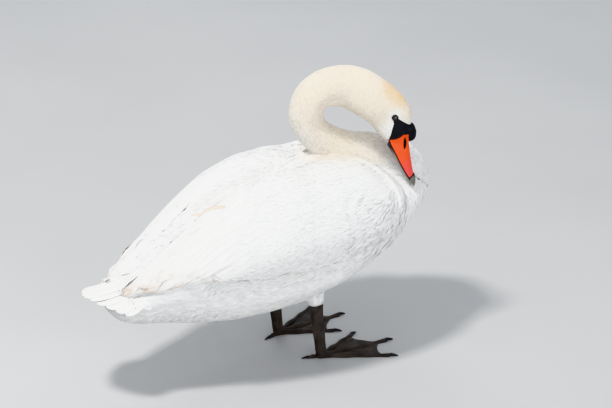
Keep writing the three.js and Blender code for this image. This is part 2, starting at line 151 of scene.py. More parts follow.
# creases of the plumage on the right side: the line, the way to the side that lies on top, how far
# the other side drops and the top side swells, and how far each reaches; "both" repeats it on the left
CREASES = (
    {"line": [(-262, -109, 234), (-190, -128, 225), (-131, -139, 224), (-92, -145, 226),
              (-31, -147, 227), (25, -146, 231)],
     "over": (0, 0, 1), "drop": 17, "swell": 4, "below": 62, "above": 30, "both": True},
    {"line": [(-345, -68, 218), (-303, -90, 234), (-262, -110, 233)],
     "over": (0, 0, -1), "drop": 4, "swell": 2.5, "below": 14, "above": 24, "both": True},
    {"line": [(-205, -22, 325), (-241, -46, 312), (-286, -47, 282), (-308, -50, 263),
              (-327, -61, 244), (-342, -69, 224)],
     "over": (1, -0.4, -0.2), "drop": 5, "swell": 2.5, "below": 26, "above": 22, "both": True},
    {"line": [(-257, -109, 230), (-251, -114, 244), (-241, -117, 256), (-224, -117, 276)],
     "over": (-1, 0, 0), "drop": 4, "swell": 1.5, "below": 22, "above": 12, "both": False},
    {"line": [(60, -66, 388), (76, -77, 381), (96, -89, 370), (111, -100, 355), (120, -110, 341),
              (125, -123, 320), (127, -130, 300), (140, -122, 277)],
     "over": (1, 0, 0.3), "drop": 4.5, "swell": 2.5, "below": 24, "above": 22, "both": False},
    {"line": [(57, -124, 350), (48, -132, 342), (37, -140, 332), (24, -146, 320)],
     "over": (-1, 0, 0.2), "drop": 3, "swell": 1.5, "below": 14, "above": 12, "both": False},
)
# the mantle: feathers that fill the hollow behind the neck's root
MANTLE = {"at": (16, -5, 352), "radii": (72, 55, 38)}
# where the far shoulder lies lower than the near one: its middle, its reach and its depth
LOW_SHOULDER = {"at": (38, 52, 385), "reach": 95, "depth": 19}
# lengths of the feathers along the neck, along the trunk and along the wing
NECK_FEATHERS = [17, 17, 16, 14, 12, 11, 10, 10, 9.5, 9, 9, 8.5, 8, 7.5, 7, 6.5, 6, 5.5, 5, 5]
BODY_FEATHERS = [16, 17, 18, 20, 22, 25, 28, 30, 32, 34, 36, 36, 34, 30]
COVERTS = [16, 20, 28, 38, 50, 60, 66, 70, 64, 50, 40, 34]
# how far apart rows of feathers lie against their length, and roots in a row against their width
ROW_STEP, ROOT_STEP = 0.36, 0.6
# the pieces of the neck's coat, each with the stretch of the neck that it covers
NECK_PARTS = (("neck_coat_lower", -1, 6), ("neck_coat_upper", 6, 12.5), ("head_coat", 12.5, 20))
# how deep the coat lies along the neck and head
NECK_COAT = [4.0, 4.0, 3.5, 3.0, 3.0, 2.6, 2.4, 2.2, 2.0, 2.0]
# a long feather: places along it, and its width there against its widest, in a wing and in the tail
VANE_T = (0, 0.14, 0.3, 0.46, 0.62, 0.76, 0.86, 0.93, 0.975, 1)
VANE_SHAPE = (0.35, 0.7, 0.92, 1, 1, 0.96, 0.86, 0.66, 0.4)
TAIL_SHAPE = (0.5, 0.72, 0.88, 0.97, 1, 0.97, 0.86, 0.66, 0.38)
# the flight feathers of a wing: how many, where their roots and tips lie on it (place along, angle
# round), how wide, how far above the skin, and how soiled their tips are; each value runs from the
# first feather to the last
FLIGHT = {
    "tertials": {"count": 7, "root": ((4.7, 5.9), (0.32, 1.45)), "tip": ((10.8, 8.9), (2.3, 2.9)),
                 "width": (30, 44), "lift": (2.6, 2.0), "inset": (2.5, 2.5), "soil": (0.4, 0.3)},
    "secondaries": {"count": 11, "root": ((6.2, 3.0), (1.5, 2.2)), "tip": ((8.9, 5.4), (2.9, 2.95)),
                    "width": (34, 30), "lift": (2.0, 1.0), "inset": (2, 2.5), "soil": (0.3, 0.0)},
    "primaries": {"count": 3, "root": ((7.5, 7.9), (1.9, 2.3)), "tip": ((11, 10.6), (2.9, 3.0)),
                  "width": (17, 17), "lift": (1.4, 0.8), "inset": (1.5, 2.5), "soil": (0.3, 0.3)},
}
LOOSE_FEATHER = {"from": (-190, -54, 341), "to": (-231, -2, 315), "width": 13, "lift": 4.5}
# the tail's feathers from the middle pair outward: where the roots lie, where the tips lie, how wide
# they are and how far the tips rise
RECTRICES = {
    "root": (-296, 34), "tip_x": (-447, -442, -435, -424, -411, -397),
    "tip_y": (5, 17, 31, 45, 57, 66), "width": (30, 32, 32, 31, 29, 27), "rise": (3, 2, -1, -1, 0, 0),
}
# places with longer or woollier feathers: the lowest and highest corner of each, how many, their
# length, their width against it and how far they stray; |y| counts
RAGGED = (
    (((30, 84, 222), (160, 160, 332)), 900, (24, 38), 0.15, 0.2),
    (((-398, 0, 90), (-210, 90, 168)), 3200, (13, 22), 0.18, 0.35),
    (((-60, 20, 100), (60, 100, 150)), 1600, (12, 20), 0.16, 0.25),
)
KNOB_GRID = 0.0009  # size of the knob's faces, in metres
FINE_COUNT = 16500  # fine feathers on each side
# the knob, and the bare root that runs from it back to the eyes and down to the bill
KNOB_FORMS = (
    ((6, 46, 0), (15, 14.4, 13)),
    ((12, 45.5, 0), (14, 13.6, 11)),
    ((17, 42.5, 0), (13.5, 13.5, 8.5)),
    ((0, 42, 0), (15, 14, 15)),
    ((-10, 39, 0), (18, 14, 16.5)),
)
# the lids across their rim: distance from the eye's middle and height over the head's middle plane
LID_PROFILE = ((3.9, 24.4), (4.15, 25.3), (4.65, 25.65), (5.3, 25.2), (5.9, 24.2), (6.5, 22.4),
               (5.6, 22.0), (4.4, 23.2))
# the bare lores, in the head's frame: the slanted line behind them, the line above them, and how
# far down and back they reach
LORES = {"slant": (0.715, 0.70), "start": 6.8, "slope": 0.37, "top": 57, "low": 2, "back": -45}
LORE_POINT = (-24.5, 39.5, 4.4)  # forward, over and radius of the bare black point below the eye
# the front of the orange against the knob: a slanted line that turns back ahead of a place
KNOB_FRONT = {"slant": (0.291, 0.466), "start": 23.8, "ahead": 20, "turn": 0.12}
PATCH = 0.003  # how far a feather's patch spans on the skin's unwrap
SEEDS = {"neck": 11, "body": 23, "wings": 37, "flight": 41, "tail": 43, "fine": 53, "ragged": 59}
VIEW = {"turn": 30, "height": 24, "distance": 5200, "target": (5, 0, 283), "pixels_per_metre": 550}
PICTURE_WIDTH = 612
SENSOR = 36.0
# the lamps: how far to the right of the target, away from the viewer and up, in metres, and their size
LAMPS = {
    "key": {"at": (-0.95, -1.0, 2.9), "size": 0.4, "power": 76, "tone": (1.0, 0.98, 0.95)},
    "fill": {"at": (1.5, -2.8, 0.35), "size": 2.6, "power": 56, "tone": (1.0, 1.0, 1.0)},
    "rim": {"at": (-0.6, 2.4, 2.2), "size": 1.6, "power": 22, "tone": (1.0, 1.0, 1.0)},
}
SKY = {"colour": (0.88, 0.91, 0.95, 1), "strength": 0.7}

# ---- curves and lofts ----


def through(values, t):
    """The value at place t of a smooth line through evenly spaced values (Catmull-Rom)."""
    v = np.asarray(values, float)
    v = np.concatenate([[2 * v[0] - v[1]], v, [2 * v[-1] - v[-2]]])
    t = np.asarray(t, float)
    i = np.clip(np.floor(t).astype(int), 0, len(v) - 4)
    u = (t - i)[..., None] if v.ndim > 1 else t - i
    p0, p1, p2, p3 = v[i], v[i + 1], v[i + 2], v[i + 3]
    bend = 2 * p0 - 5 * p1 + 4 * p2 - p3
    return p1 + 0.5 * u * (p2 - p0 + u * (bend + u * (3 * p1 - p0 - 3 * p2 + p3)))


def unit(v):
    """Vectors of length one along v."""
    return v / np.maximum(np.linalg.norm(v, axis=-1, keepdims=True), 1e-9)


def dot(a, b):
    """Dot products, kept as a last axis of one."""
    return (a * b).sum(-1, keepdims=True)


def ease(low, high, value):
    """A smooth step from 0 at low to 1 at high."""
    s = np.clip((value - low) / (high - low), 0, 1)
    return s * s * (3 - 2 * s)


def drift(points, reach, seed):
    """A slow smooth value, mostly from -1 to 1, that changes over about reach millimetres."""
    rng = np.random.default_rng(seed)
    ways = unit(rng.normal(size=(7, 3))) * math.pi / reach
    return np.sin(points @ ways.T + rng.uniform(0, 2 * math.pi, 7)).mean(-1) * 2


def loft(rings):
    """Corners and faces of a closed solid through rings of equal count, capped at both ends."""
    rows, sides = rings.shape[:2]
    middle = [rings[0].mean(0), rings[-1].mean(0)]
    corners = np.concatenate([rings.reshape(-1, 3), middle])
    a = np.arange(rows * sides).reshape(rows, sides)
    b = np.roll(a, -1, axis=1)
    walls = np.stack([a[:-1], b[:-1], b[1:], a[1:]], -1).reshape(-1, 4).tolist()
    start = [[b[0, s], a[0, s], rows * sides] for s in range(sides)]
    end = [[a[-1, s], b[-1, s], rows * sides + 1] for s in range(sides)]
    faces = walls + start + end
    volume = 0.0
    for f in faces:
        for k in range(1, len(f) - 1):
            volume += np.dot(corners[f[0]], np.cross(corners[f[k]], corners[f[k + 1]]))
    if volume < 0:
        faces = [f[::-1] for f in faces]
    return corners, faces


def circle(sides):
    """Cosines and sines of evenly spaced angles."""
    angle = np.arange(sides) / sides * 2 * math.pi
    return np.cos(angle), np.sin(angle)


def trunk_rings(t, sides, inset):
    """Rings round the trunk at places t from breast to rump, set in by inset."""
    cos, sin = circle(sides)
    x, back, belly, level, width = (
        through(TRUNK[k], t)[:, None] for k in ("x", "back", "belly", "level", "width")
    )
    reach = np.where(sin > 0, back - level - inset, level - belly - inset)
    z = level + reach * sin
    return np.stack([x + 0 * cos, np.maximum(width - inset, 1) * cos, z], -1)


def wing_surface(t, angle, side, inset):
    """Places on a folded wing: t runs along it, angle round it from its upper edge at 0, past its
    outer face, to its lower edge at pi; side is -1 on the right and 1 on the left."""
    low = np.stack([through(WING["low_y"], t), through(WING["low_z"], t)], -1)
    high = np.stack([through(WING["high_y"], t), through(WING["high_z"], t)], -1)
    half = (high - low) / 2
    size = np.linalg.norm(half, axis=-1, keepdims=True)
    out = np.stack([-half[..., 1], half[..., 0]], -1) / size
    inset = np.asarray(inset, float)[..., None]
    bulge = np.maximum(through(WING["bulge"], t)[..., None] - inset, 1)
    p = (low + high) / 2 + half * (1 - inset / size) * np.cos(angle)[..., None]
    p = p + out * bulge * np.sin(angle)[..., None]
    return np.stack([through(WING["x"], t), -side * np.minimum(p[..., 0], -0.3), p[..., 1]], -1)


def wing_rings(t, side, sides, inset):
    """Rings round a folded wing at places t from its bend to its tip."""
    t, angle = np.meshgrid(t, np.arange(sides) / sides * 2 * math.pi, indexing="ij")
    return wing_surface(t, angle, side, inset)


def tail_rings(t, sides, inset):
    """Rings round the closed tail at places t from its root to its tip."""
    cos, sin = circle(sides)
    x, level, width, thick, droop = (
        through(TAIL[k], t)[:, None] for k in ("x", "level", "width", "thick", "droop")
    )
    z = level - droop * cos**2 + np.maximum(thick / 2 - inset, 1) * sin
    return np.stack([x + 0 * cos, np.maximum(width - inset, 1) * cos, z], -1)


def neck_frame(t):
    """Centre, way along, way left and way to the nape of the neck tube at places t."""
    centre = through(NECK[:, :3], t)
    along = unit(through(NECK[:, :3], t + 0.02) - through(NECK[:, :3], t - 0.02))
    turn = np.radians(through(NECK[:, 6], t))
    left = np.stack([np.sin(turn), np.cos(turn), 0 * turn], -1)
    left = unit(left - along * dot(left, along))
    return centre, along, left, np.cross(along, left)


def neck_rings(t, sides, inset):
    """Rings round the neck and head at places t from the breast to the face."""
    cos, sin = circle(sides)
    centre, _, left, nape = neck_frame(t)
    reach_nape, reach_throat, wide = (
        np.maximum(through(NECK[:, k], t) - inset, 1)[:, None] for k in (3, 4, 5)
    )
    up = np.where(sin > 0, reach_nape, reach_throat) * sin
    return centre[:, None] + left[:, None] * (wide * cos)[..., None] + nape[:, None] * up[..., None]


HEAD_TURN = math.radians(HEAD["turn"])
HEAD_DIP = math.radians(HEAD["dip"])
AHEAD = np.array([math.cos(HEAD_TURN), -math.sin(HEAD_TURN), 0])
HEAD_LEFT = np.array([math.sin(HEAD_TURN), math.cos(HEAD_TURN), 0])
FORWARD = AHEAD * math.cos(HEAD_DIP) + np.array([0, 0, -math.sin(HEAD_DIP)])
OVER = AHEAD * math.sin(HEAD_DIP) + np.array([0, 0, math.cos(HEAD_DIP)])
HEAD_AXES = np.stack([FORWARD, OVER, HEAD_LEFT])


def head_place(local):
    """Places in the head's frame (forward along the bill, over to the crown, left) as stance ones."""
    return np.asarray(HEAD["at"], float) + np.asarray(local, float) @ HEAD_AXES


def head_local(points):
    """Stance places in the head's frame."""
    return (points - np.asarray(HEAD["at"], float)) @ HEAD_AXES.T


def to_row(points):
    """Stance places, in millimetres, as places in the frame of the row, in metres."""
    return (np.asarray(points, float) + STANCE) * MM


# ---- meshes ----


def placed(name, mesh, material):
    """An object at the origin for a mesh, with its finish."""
    if material:
        mesh.materials.append(material)
    obj = bpy.data.objects.new(name, mesh)
    bpy.context.scene.collection.objects.link(obj)
    return obj


def mesh_object(name, corners, faces, material, sharp=None):
    """A mesh piece from places in the stance frame, in millimetres."""
    mesh = bpy.data.meshes.new(name)
    mesh.from_pydata(to_row(corners).tolist(), [], [list(map(int, f)) for f in faces])
    mesh.validate()
    mesh.shade_smooth()
    if sharp:
        mesh.set_sharp_from_angle(angle=math.radians(sharp))
    return placed(name, mesh, material)


def finish_piece(obj, nodes=()):
    """Puts a finished piece on its body, and hides the nodes that it stands for."""
    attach(obj, "root")
    if nodes:
        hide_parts(*nodes)
    return obj


def joined(parts):
    """Several closed solids as one list of corners and faces."""
    corners, faces, count = [], [], 0
    for c, f in parts:
        corners.append(c)
        faces += [[i + count for i in face] for face in f]
        count += len(c)
    return np.concatenate(corners), faces


def merged(name, parts, grid, rounds):
    """One smooth closed mesh from closed forms that reach into each other."""
    corners, faces = joined(parts)
    rough = mesh_object(name + "_forms", corners, faces, None)
    remesh = rough.modifiers.new("union", "REMESH")
    remesh.mode = "VOXEL"
    remesh.voxel_size = grid
    smooth = rough.modifiers.new("soften", "SMOOTH")
    smooth.factor = 0.5
    smooth.iterations = rounds
    graph = bpy.context.evaluated_depsgraph_get()
    mesh = bpy.data.meshes.new_from_object(rough.evaluated_get(graph))
    bpy.data.objects.remove(rough)
    mesh.name = name
    mesh.materials.clear()
    mesh.shade_smooth()
    return mesh


# ---- materials ----

# where the markings lie: centre, radii and strength
NECK_CREAM = [
    ((75, -30, 480), (150, 120, 105), 0.9),
    ((95, -5, 385), (115, 80, 60), 0.6),
]
CROWN_BUFF = [
    (tuple(head_place((-72, 60, 0))), (30, 30, 50), 0.75),
    (tuple(head_place((-48, 64, 0))), (24, 22, 40), 0.6),
    (tuple(head_place((-24, 62, 0))), (18, 14, 26), 0.3),
]
FACE_WHITE = [
    (tuple(head_place((-19, 22, -22))), (24, 24, 26), 0.8),
    (tuple(head_place((-19, 22, 22))), (24, 24, 26), 0.8),
    (tuple(head_place((-35, 42, -24))), (19, 18, 22), 0.7),
    (tuple(head_place((-35, 42, 24))), (19, 18, 22), 0.7),
]
# the first two spots are soiled feather tips over the tail; the others follow the wing's creases and are
# partly soil, partly painted shade in those creases
SOIL_AND_CREASE_SHADE = [
    ((-380, -37, 214), (14, 14, 8), 0.7),
    ((-358, -57, 221), (16, 12, 9), 0.7),
    ((-325, -62, 244), (16, 8, 16), 0.5),
    ((-300, -90, 234), (36, 8, 7), 0.5),
    ((-240, -118, 231), (40, 8, 6), 0.4),
    ((-290, -52, 276), (16, 8, 24), 0.3),
]


class Finish:
    """A node material, with short words for the nodes it is made of."""

    def __init__(self, name, roughness, **sockets):
        self.material = bpy.data.materials.new(name)
        self.material.use_nodes = True
        self.tree = self.material.node_tree
        self.shader = self.tree.nodes["Principled BSDF"]
        self.set(Roughness=roughness, **sockets)

    def set(self, **sockets):
        """Sets the shader's own sockets, by name."""
        for name, value in sockets.items():
            self.feed(self.shader.inputs[name.replace("_", " ")], value)

    def feed(self, socket, value):
        """Links a socket, or gives it a value."""
        if isinstance(value, bpy.types.NodeSocket):
            self.tree.links.new(value, socket)
        elif value is not None:
            socket.default_value = value

    def node(self, kind, inputs=(), **settings):
        """A new node with its settings and what its inputs are fed."""
        node = self.tree.nodes.new("ShaderNode" + kind)
        for key, value in settings.items():
            setattr(node, key, value)
        for key, value in dict(inputs).items():
            self.feed(node.inputs[key], value)
        return node

    def place(self):
        """The place on the object, in metres."""
        return self.node("TexCoord").outputs["Object"]

    def sum(self, operation, a, b=None):
        """One step of arithmetic."""
        node = self.node("Math", operation=operation)
        self.feed(node.inputs[0], a)
        self.feed(node.inputs[1], b)
        return node.outputs[0]

    def vector(self, operation, a, b=None, scale=None, out="Vector"):
        """One step of arithmetic on vectors."""
        node = self.node("VectorMath", operation=operation)
        self.feed(node.inputs[0], a)
        self.feed(node.inputs[1], b)
        if scale is not None:
            self.feed(node.inputs["Scale"], scale)
        return node.outputs[out]

    def step(self, value, low, high, to_low=0.0, to_high=1.0):
        """A smooth step from to_low at low to to_high at high."""
        inputs = {"Value": value, "From Min": low, "From Max": high}
        inputs |= {"To Min": to_low, "To Max": to_high}
        return self.node("MapRange", inputs, interpolation_type="SMOOTHSTEP").outputs[0]

    def noise(self, scale, detail, vector=None, out="Fac"):
        """Soft noise over the object, or over a vector."""
        inputs = {"Scale": scale, "Detail": detail}
        inputs["Vector"] = vector if vector is not None else self.place()
        return self.node("TexNoise", inputs).outputs[out]

    def mix(self, factor, a, b, blend="MIX"):
        """Colour a, and as much of colour b as the factor says."""
        node = self.node("Mix", data_type="RGBA", blend_type=blend)
        self.feed(node.inputs["Factor"], factor)
        self.feed(node.inputs[6], colour(a))
        self.feed(node.inputs[7], colour(b))
        return node.outputs[2]

    def spot(self, centre, radii, amount, core, rim, vector):
        """An amount inside a soft-edged ball at a place in the stance frame, 0 outside it."""
        middle = tuple(to_row(centre))
        away = self.vector("SUBTRACT", vector, middle)
        away = self.vector("DIVIDE", away, tuple(MM * r for r in radii))
        inner = self.step(self.vector("LENGTH", away, out="Value"), rim, core)
        return self.sum("MULTIPLY", inner, amount)

    def bump(self, height, distance, strength):
        """Normals over a height, where a height of 1 is distance millimetres."""
        inputs = {"Height": height, "Distance": distance * MM, "Strength": strength}
        return self.node("Bump", inputs).outputs["Normal"]

    def attribute(self, name):
        """A value kept with the mesh's corners."""
        return self.node("Attribute", attribute_name=name).outputs["Fac"]

    def times(self, tint, value):
        """A colour made darker by a value."""
        grey = self.node("CombineColor", {0: value, 1: value, 2: value}).outputs[0]
        return self.mix(1.0, tint, grey, "MULTIPLY")


def colour(value):
    """A colour with its alpha, or a socket as it is."""
    if isinstance(value, bpy.types.NodeSocket):
        return value
    return (*tuple(value)[:3], 1.0)


def plumage_markings(f):
    """The plumage's colour by place: white with painted cool shade in soft random patches, creamy on the
    neck, buff over the crown, soiled tips, and soil with painted shade along the wing's creases.
    """
    tints = bpy.context.scene.swan_colours
    warp = f.vector("SUBTRACT", f.noise(28.0, 2.0, out="Color"), (0.5, 0.5, 0.5))
    place = f.vector("ADD", f.place(), f.vector("SCALE", warp, scale=0.022))
    mottle = f.noise(60.0, 4.0)
    # soft random patches of the cooler shadow white: painted shade over the plumage
    tint = f.mix(f.step(mottle, 0.3, 0.7, 0.0, 0.25), tints.white, tints.shadow_white)
    for mark in NECK_CREAM:
        tint = f.mix(f.spot(*mark, 0.55, 1.15, place), tint, tints.cream)
    for mark in CROWN_BUFF:
        patchy = f.step(mottle, 0.2, 0.6, 0.65, 1.0)
        mask = f.sum("MULTIPLY", f.spot(*mark, 0.25, 1.1, place), patchy)
        tint = f.mix(mask, tint, tints.buff)
    for mark in FACE_WHITE:
        tint = f.mix(f.spot(*mark, 0.15, 1.1, place), tint, tints.white)
    # soiled tips, and soil with painted shade along the wing's creases
    for mark in SOIL_AND_CREASE_SHADE:
        patchy = f.step(f.noise(140.0, 3.0), 0.35, 0.6)
        mask = f.sum("MULTIPLY", f.spot(*mark, 0.1, 1.1, place), patchy)
        tint = f.mix(mask, tint, tints.soil)
    stain = f.attribute("stain")
    tint = f.mix(f.sum("MAXIMUM", stain, 0.0), tint, tints.soil)
    return f.mix(f.sum("MAXIMUM", f.sum("MULTIPLY", stain, -1.0), 0.0), tint, tints.cream)


def plumage_finish():
    """White feathering: soft, hardly glossy, a little different from feather to feather."""
    f = Finish("plumage", 0.72, Sheen_Weight=0.12, Sheen_Roughness=0.5, Specular_IOR_Level=0.3)
    tint = plumage_markings(f)
    tone = f.step(f.attribute("tone"), -1.0, 1.0, 0.86, 1.0)
    f.set(Base_Color=f.times(tint, tone))
    f.set(Normal=f.bump(f.noise(900.0, 2.0), 0.25, 0.5))
    return f.material


def covert_finish():
    """The wings' coverts: the same white, with barbs slanting off each feather's middle."""
    f = Finish("covert", 0.7, Sheen_Weight=0.1, Sheen_Roughness=0.5, Specular_IOR_Level=0.3)
    return vane_finish(f, 260.0, 0.35)


def flight_finish():
    """Long feathers: a pale shaft and barbs slanting off it, over the same white."""
    f = Finish("flight_feather", 0.6, Sheen_Weight=0.1, Sheen_Roughness=0.5, Specular_IOR_Level=0.35)
    return vane_finish(f, 420.0, 1.0)


def vane_finish(f, barb_count, shaft_height):
    """A feather's vane: barbs that slant off a raised pale shaft, and a few split barbs painted as faint
    streaks of shade.
    """
    tint = plumage_markings(f)
    vane = f.node("UVMap", uv_map="Vane").outputs[0]
    parts = f.node("SeparateXYZ", {0: vane})
    across = f.sum("ABSOLUTE", parts.outputs[0])
    slant = f.sum("SUBTRACT", parts.outputs[1], f.sum("MULTIPLY", across, 0.16))
    ripple = f.sum("SINE", f.sum("MULTIPLY", slant, barb_count))
    barbs = f.sum("MULTIPLY", ripple, f.step(across, 0.02, 0.2))
    shaft = f.sum("MULTIPLY", f.step(across, 0.09, 0.03), shaft_height)
    tint = f.mix(f.sum("MULTIPLY", shaft, 0.25), tint, bpy.context.scene.swan_colours.cream)
    streak = f.node("CombineXYZ", {0: f.sum("MULTIPLY", slant, 60.0), 1: f.attribute("tone")})
    # faint darker streaks along the barbs: painted shade where the vane is split
    split_shade = f.step(f.noise(1.0, 2.0, streak.outputs[0]), 0.35, 0.6, 0.93, 1.0)
    f.set(Base_Color=f.times(tint, split_shade))
    height = f.sum("ADD", f.sum("MULTIPLY", barbs, 0.12), shaft)
    f.set(Normal=f.bump(height, 0.6, 0.6))
    return f.material


def slanted(f, forward, over, shares):
    """A slanted measure in the head's middle plane, from shares of forward and over."""
    return f.sum("ADD", f.sum("MULTIPLY", forward, shares[0]), f.sum("MULTIPLY", over, shares[1]))


def head_planes(f):
    """Forward, over and left in the head's frame, in millimetres, as sockets."""
    local = f.vector("SUBTRACT", f.place(), tuple(to_row(HEAD["at"])))
    return [f.vector("DOT_PRODUCT", local, tuple(axis / MM), out="Value") for axis in HEAD_AXES]


def skin_finish():
    """The skin: the plumage's own colours, and bare black lores from the eye to the bill."""
    f = Finish("skin", 0.75, Specular_IOR_Level=0.3)
    tint = plumage_markings(f)
    forward, over, _ = head_planes(f)
    behind = slanted(f, forward, over, LORES["slant"])
    above = f.sum("SUBTRACT", over, f.sum("MULTIPLY", forward, LORES["slope"]))
    wobble = f.sum("MULTIPLY", f.sum("SUBTRACT", f.noise(300.0, 2.0), 0.5), 1.5)
    black = f.step(f.sum("ADD", behind, wobble), LORES["start"], LORES["start"] + 1.2)
    top = f.step(f.sum("ADD", above, wobble), LORES["top"], LORES["top"] - 1)
    black = f.sum("MULTIPLY", black, top)
    black = f.sum("MULTIPLY", black, f.step(over, LORES["low"], LORES["low"] + 2))
    black = f.sum("MULTIPLY", black, f.step(forward, LORES["back"], LORES["back"] + 5))
    round_eye = f.node("CombineXYZ", {0: f.sum("ADD", forward, -LORE_POINT[0]),
                                      1: f.sum("ADD", over, -LORE_POINT[1])})
    point = f.vector("LENGTH", round_eye.outputs[0], out="Value")
    black = f.sum("MAXIMUM", black, f.step(point, LORE_POINT[2] + 0.6, LORE_POINT[2] - 0.6))
    f.set(Base_Color=f.mix(black, tint, bpy.context.scene.swan_colours.black))
    f.set(Roughness=f.step(black, 0.0, 1.0, 0.8, 0.5))
    f.set(Normal=f.bump(f.noise(500.0, 3.0), 0.4, 0.6))
    return f.material


def orange_finish():
    """The bill's horn: orange, redder to the tip, black at its root and along its edge."""
    tints = bpy.context.scene.swan_colours
    f = Finish("bill_orange", 0.48, Specular_IOR_Level=0.25)
    forward, over, _ = head_planes(f)
    streaks = f.noise(260.0, 4.0)
    tint = f.mix(f.step(forward, 42.0, 72.0), tints.orange, tints.red)
    tint = f.mix(f.step(streaks, 0.35, 0.75, 0.0, 0.2), tint, tints.pale_orange)
    wobble = f.sum("MULTIPLY", f.sum("SUBTRACT", f.noise(180.0, 2.0), 0.5), 2.2)
    root = f.sum("SUBTRACT", forward, f.sum("MULTIPLY", over, 0.32))
    root = f.step(f.sum("ADD", root, wobble), -1.2, -2.4)
    edge = f.attribute("edge")
    rim = f.step(f.sum("ADD", edge, f.sum("MULTIPLY", wobble, 0.25)), 2.5, 1.8)
    rim = f.sum("MULTIPLY", rim, f.step(forward, 91.0, 88.5))
    slot = f.attribute("slot")
    tip = f.step(f.sum("ADD", forward, f.sum("MULTIPLY", wobble, 0.5)), 84.0, 85.5)
    # beyond the black band the nail's grey: worn horn, lightened as a painted glare
    tint = f.mix(f.step(forward, 86.5, 88.5), f.mix(tip, tint, tints.black), tints.nail_grey_with_painted_glare)
    black = f.sum("MAXIMUM", f.sum("MAXIMUM", root, rim), f.step(slot, 0.3, 0.6))
    ahead = f.sum("MAXIMUM", f.sum("SUBTRACT", forward, KNOB_FRONT["ahead"]), 0.0)
    front = slanted(f, forward, over, KNOB_FRONT["slant"])
    front = f.sum("SUBTRACT", front, f.sum("MULTIPLY", ahead, KNOB_FRONT["turn"]))
    front = f.sum("ADD", front, f.sum("MULTIPLY", wobble, 0.2))
    black = f.sum("MAXIMUM", black, f.step(front, KNOB_FRONT["start"], KNOB_FRONT["start"] + 0.7))
    f.set(Base_Color=f.mix(black, tint, tints.black))
    grain = f.noise(700.0, 3.0)
    f.set(Roughness=f.step(grain, 0.3, 0.7, 0.42, 0.56))
    f.set(Normal=f.bump(f.sum("ADD", streaks, f.sum("MULTIPLY", grain, 0.4)), 0.5, 0.5))
    return f.material


def black_finish(name, roughness, grain_scale):
    """Black horn or bare skin with a fine grain."""
    f = Finish(name, roughness, Specular_IOR_Level=0.45)
    grain = f.noise(grain_scale, 4.0)
    f.set(Base_Color=colour(bpy.context.scene.swan_colours.black))
    f.set(Roughness=f.step(grain, 0.3, 0.7, roughness - 0.08, roughness + 0.1))
    f.set(Normal=f.bump(grain, 0.6, 0.6))
    return f.material


def jaw_finish():
    """The lower mandible: black at its root, grey toward the tip, the grey both worn horn and painted
    light.
    """
    tints = bpy.context.scene.swan_colours
    f = Finish("jaw_horn", 0.55, Specular_IOR_Level=0.35)
    forward, _, _ = head_planes(f)
    grain = f.noise(420.0, 4.0)
    # toward the tip: worn horn, made lighter as painted light
    worn = f.sum("MULTIPLY", f.step(forward, 14.0, 40.0, 0.1, 1.0), f.step(grain, 0.2, 0.8, 0.8, 1.0))
    f.set(Base_Color=f.mix(worn, tints.black, tints.jaw_grey_with_painted_light))
    f.set(Normal=f.bump(grain, 0.6, 0.6))
    return f.material


def nail_finish():
    """The nail: grey horn, partly worn and partly a painted glare, with a black line round its root."""
    tints = bpy.context.scene.swan_colours
    f = Finish("nail_horn", 0.5, Specular_IOR_Level=0.4)
    forward, _, _ = head_planes(f)
    grain = f.noise(300.0, 4.0)
    root = f.step(f.sum("ADD", forward, f.sum("MULTIPLY", grain, 3.0)), 93.5, 90.5)
    # the nail's grey: worn horn, lightened as a painted glare
    tint = f.mix(f.step(grain, 0.3, 0.7, 0.0, 0.4), tints.nail_grey_with_painted_glare, tints.leg_light)
    f.set(Base_Color=f.mix(root, tint, tints.black))
    f.set(Normal=f.bump(grain, 0.5, 0.6))
    return f.material


def eye_finish():
    """A dark brown eye with a black pupil under a clear, wet front."""
    f = Finish("wet_eye", 0.06, Specular_IOR_Level=0.6, Coat_Weight=1.0, Coat_Roughness=0.02)
    out = f.attribute("outward")
    fibres = f.noise(1400.0, 3.0)
    iris = f.mix(f.step(fibres, 0.3, 0.7), (0.012, 0.007, 0.004), (0.026, 0.013, 0.007))
    tint = f.mix(f.step(out, 0.90, 0.93), iris, (0.002, 0.002, 0.002))
    tint = f.mix(f.step(out, 0.72, 0.62), tint, (0.006, 0.005, 0.005))
    f.set(Base_Color=tint)
    f.set(Normal=f.bump(fibres, 0.05, 0.2))
    return f.material


def leg_finish(name, scale, roughness):
    """Bare scaly skin, dark grey-brown with paler blotches, darker along the seams between the scales."""
    tints = bpy.context.scene.swan_colours
    f = Finish(name, roughness, Specular_IOR_Level=0.4)
    net = f.node("TexVoronoi", {"Vector": f.place(), "Scale": scale}, feature="DISTANCE_TO_EDGE")
    seam = f.step(net.outputs["Distance"], 0.0, 0.14)
    blotch = f.noise(45.0, 4.0)
    tint = f.mix(f.step(blotch, 0.3, 0.7), tints.leg, tints.leg_light)
    tint = f.mix(f.step(seam, 0.6, 0.0, 0.0, 0.55), tint, tints.black)
    f.set(Base_Color=tint)
    f.set(Normal=f.bump(f.sum("ADD", seam, f.sum("MULTIPLY", f.noise(900.0, 2.0), 0.2)), 0.8, 0.8))
    return f.material


def floor_finish():
    """A plain pale studio floor."""
    f = Finish("studio_floor", 0.7, Specular_IOR_Level=0.2)
    tint = bpy.context.scene.swan_colours.floor
    soft = f.step(f.noise(2.0, 3.0), 0.3, 0.7, 0.0, 0.06)
    f.set(Base_Color=f.mix(soft, tint, (0.8, 0.8, 0.8)))
    return f.material


def material(name, make):
    """A finish made once and shared."""
    return bpy.data.materials.get(name) or make()


# ---- the skin and the lie of the coat ----

SKIN = "skin"
LINE_T = np.linspace(0, len(NECK) - 1, 220)
LINE_AT, LINE_ALONG, _, _ = neck_frame(LINE_T)
LINE_RADIUS = through(NECK[:, 3:6], LINE_T).mean(-1)


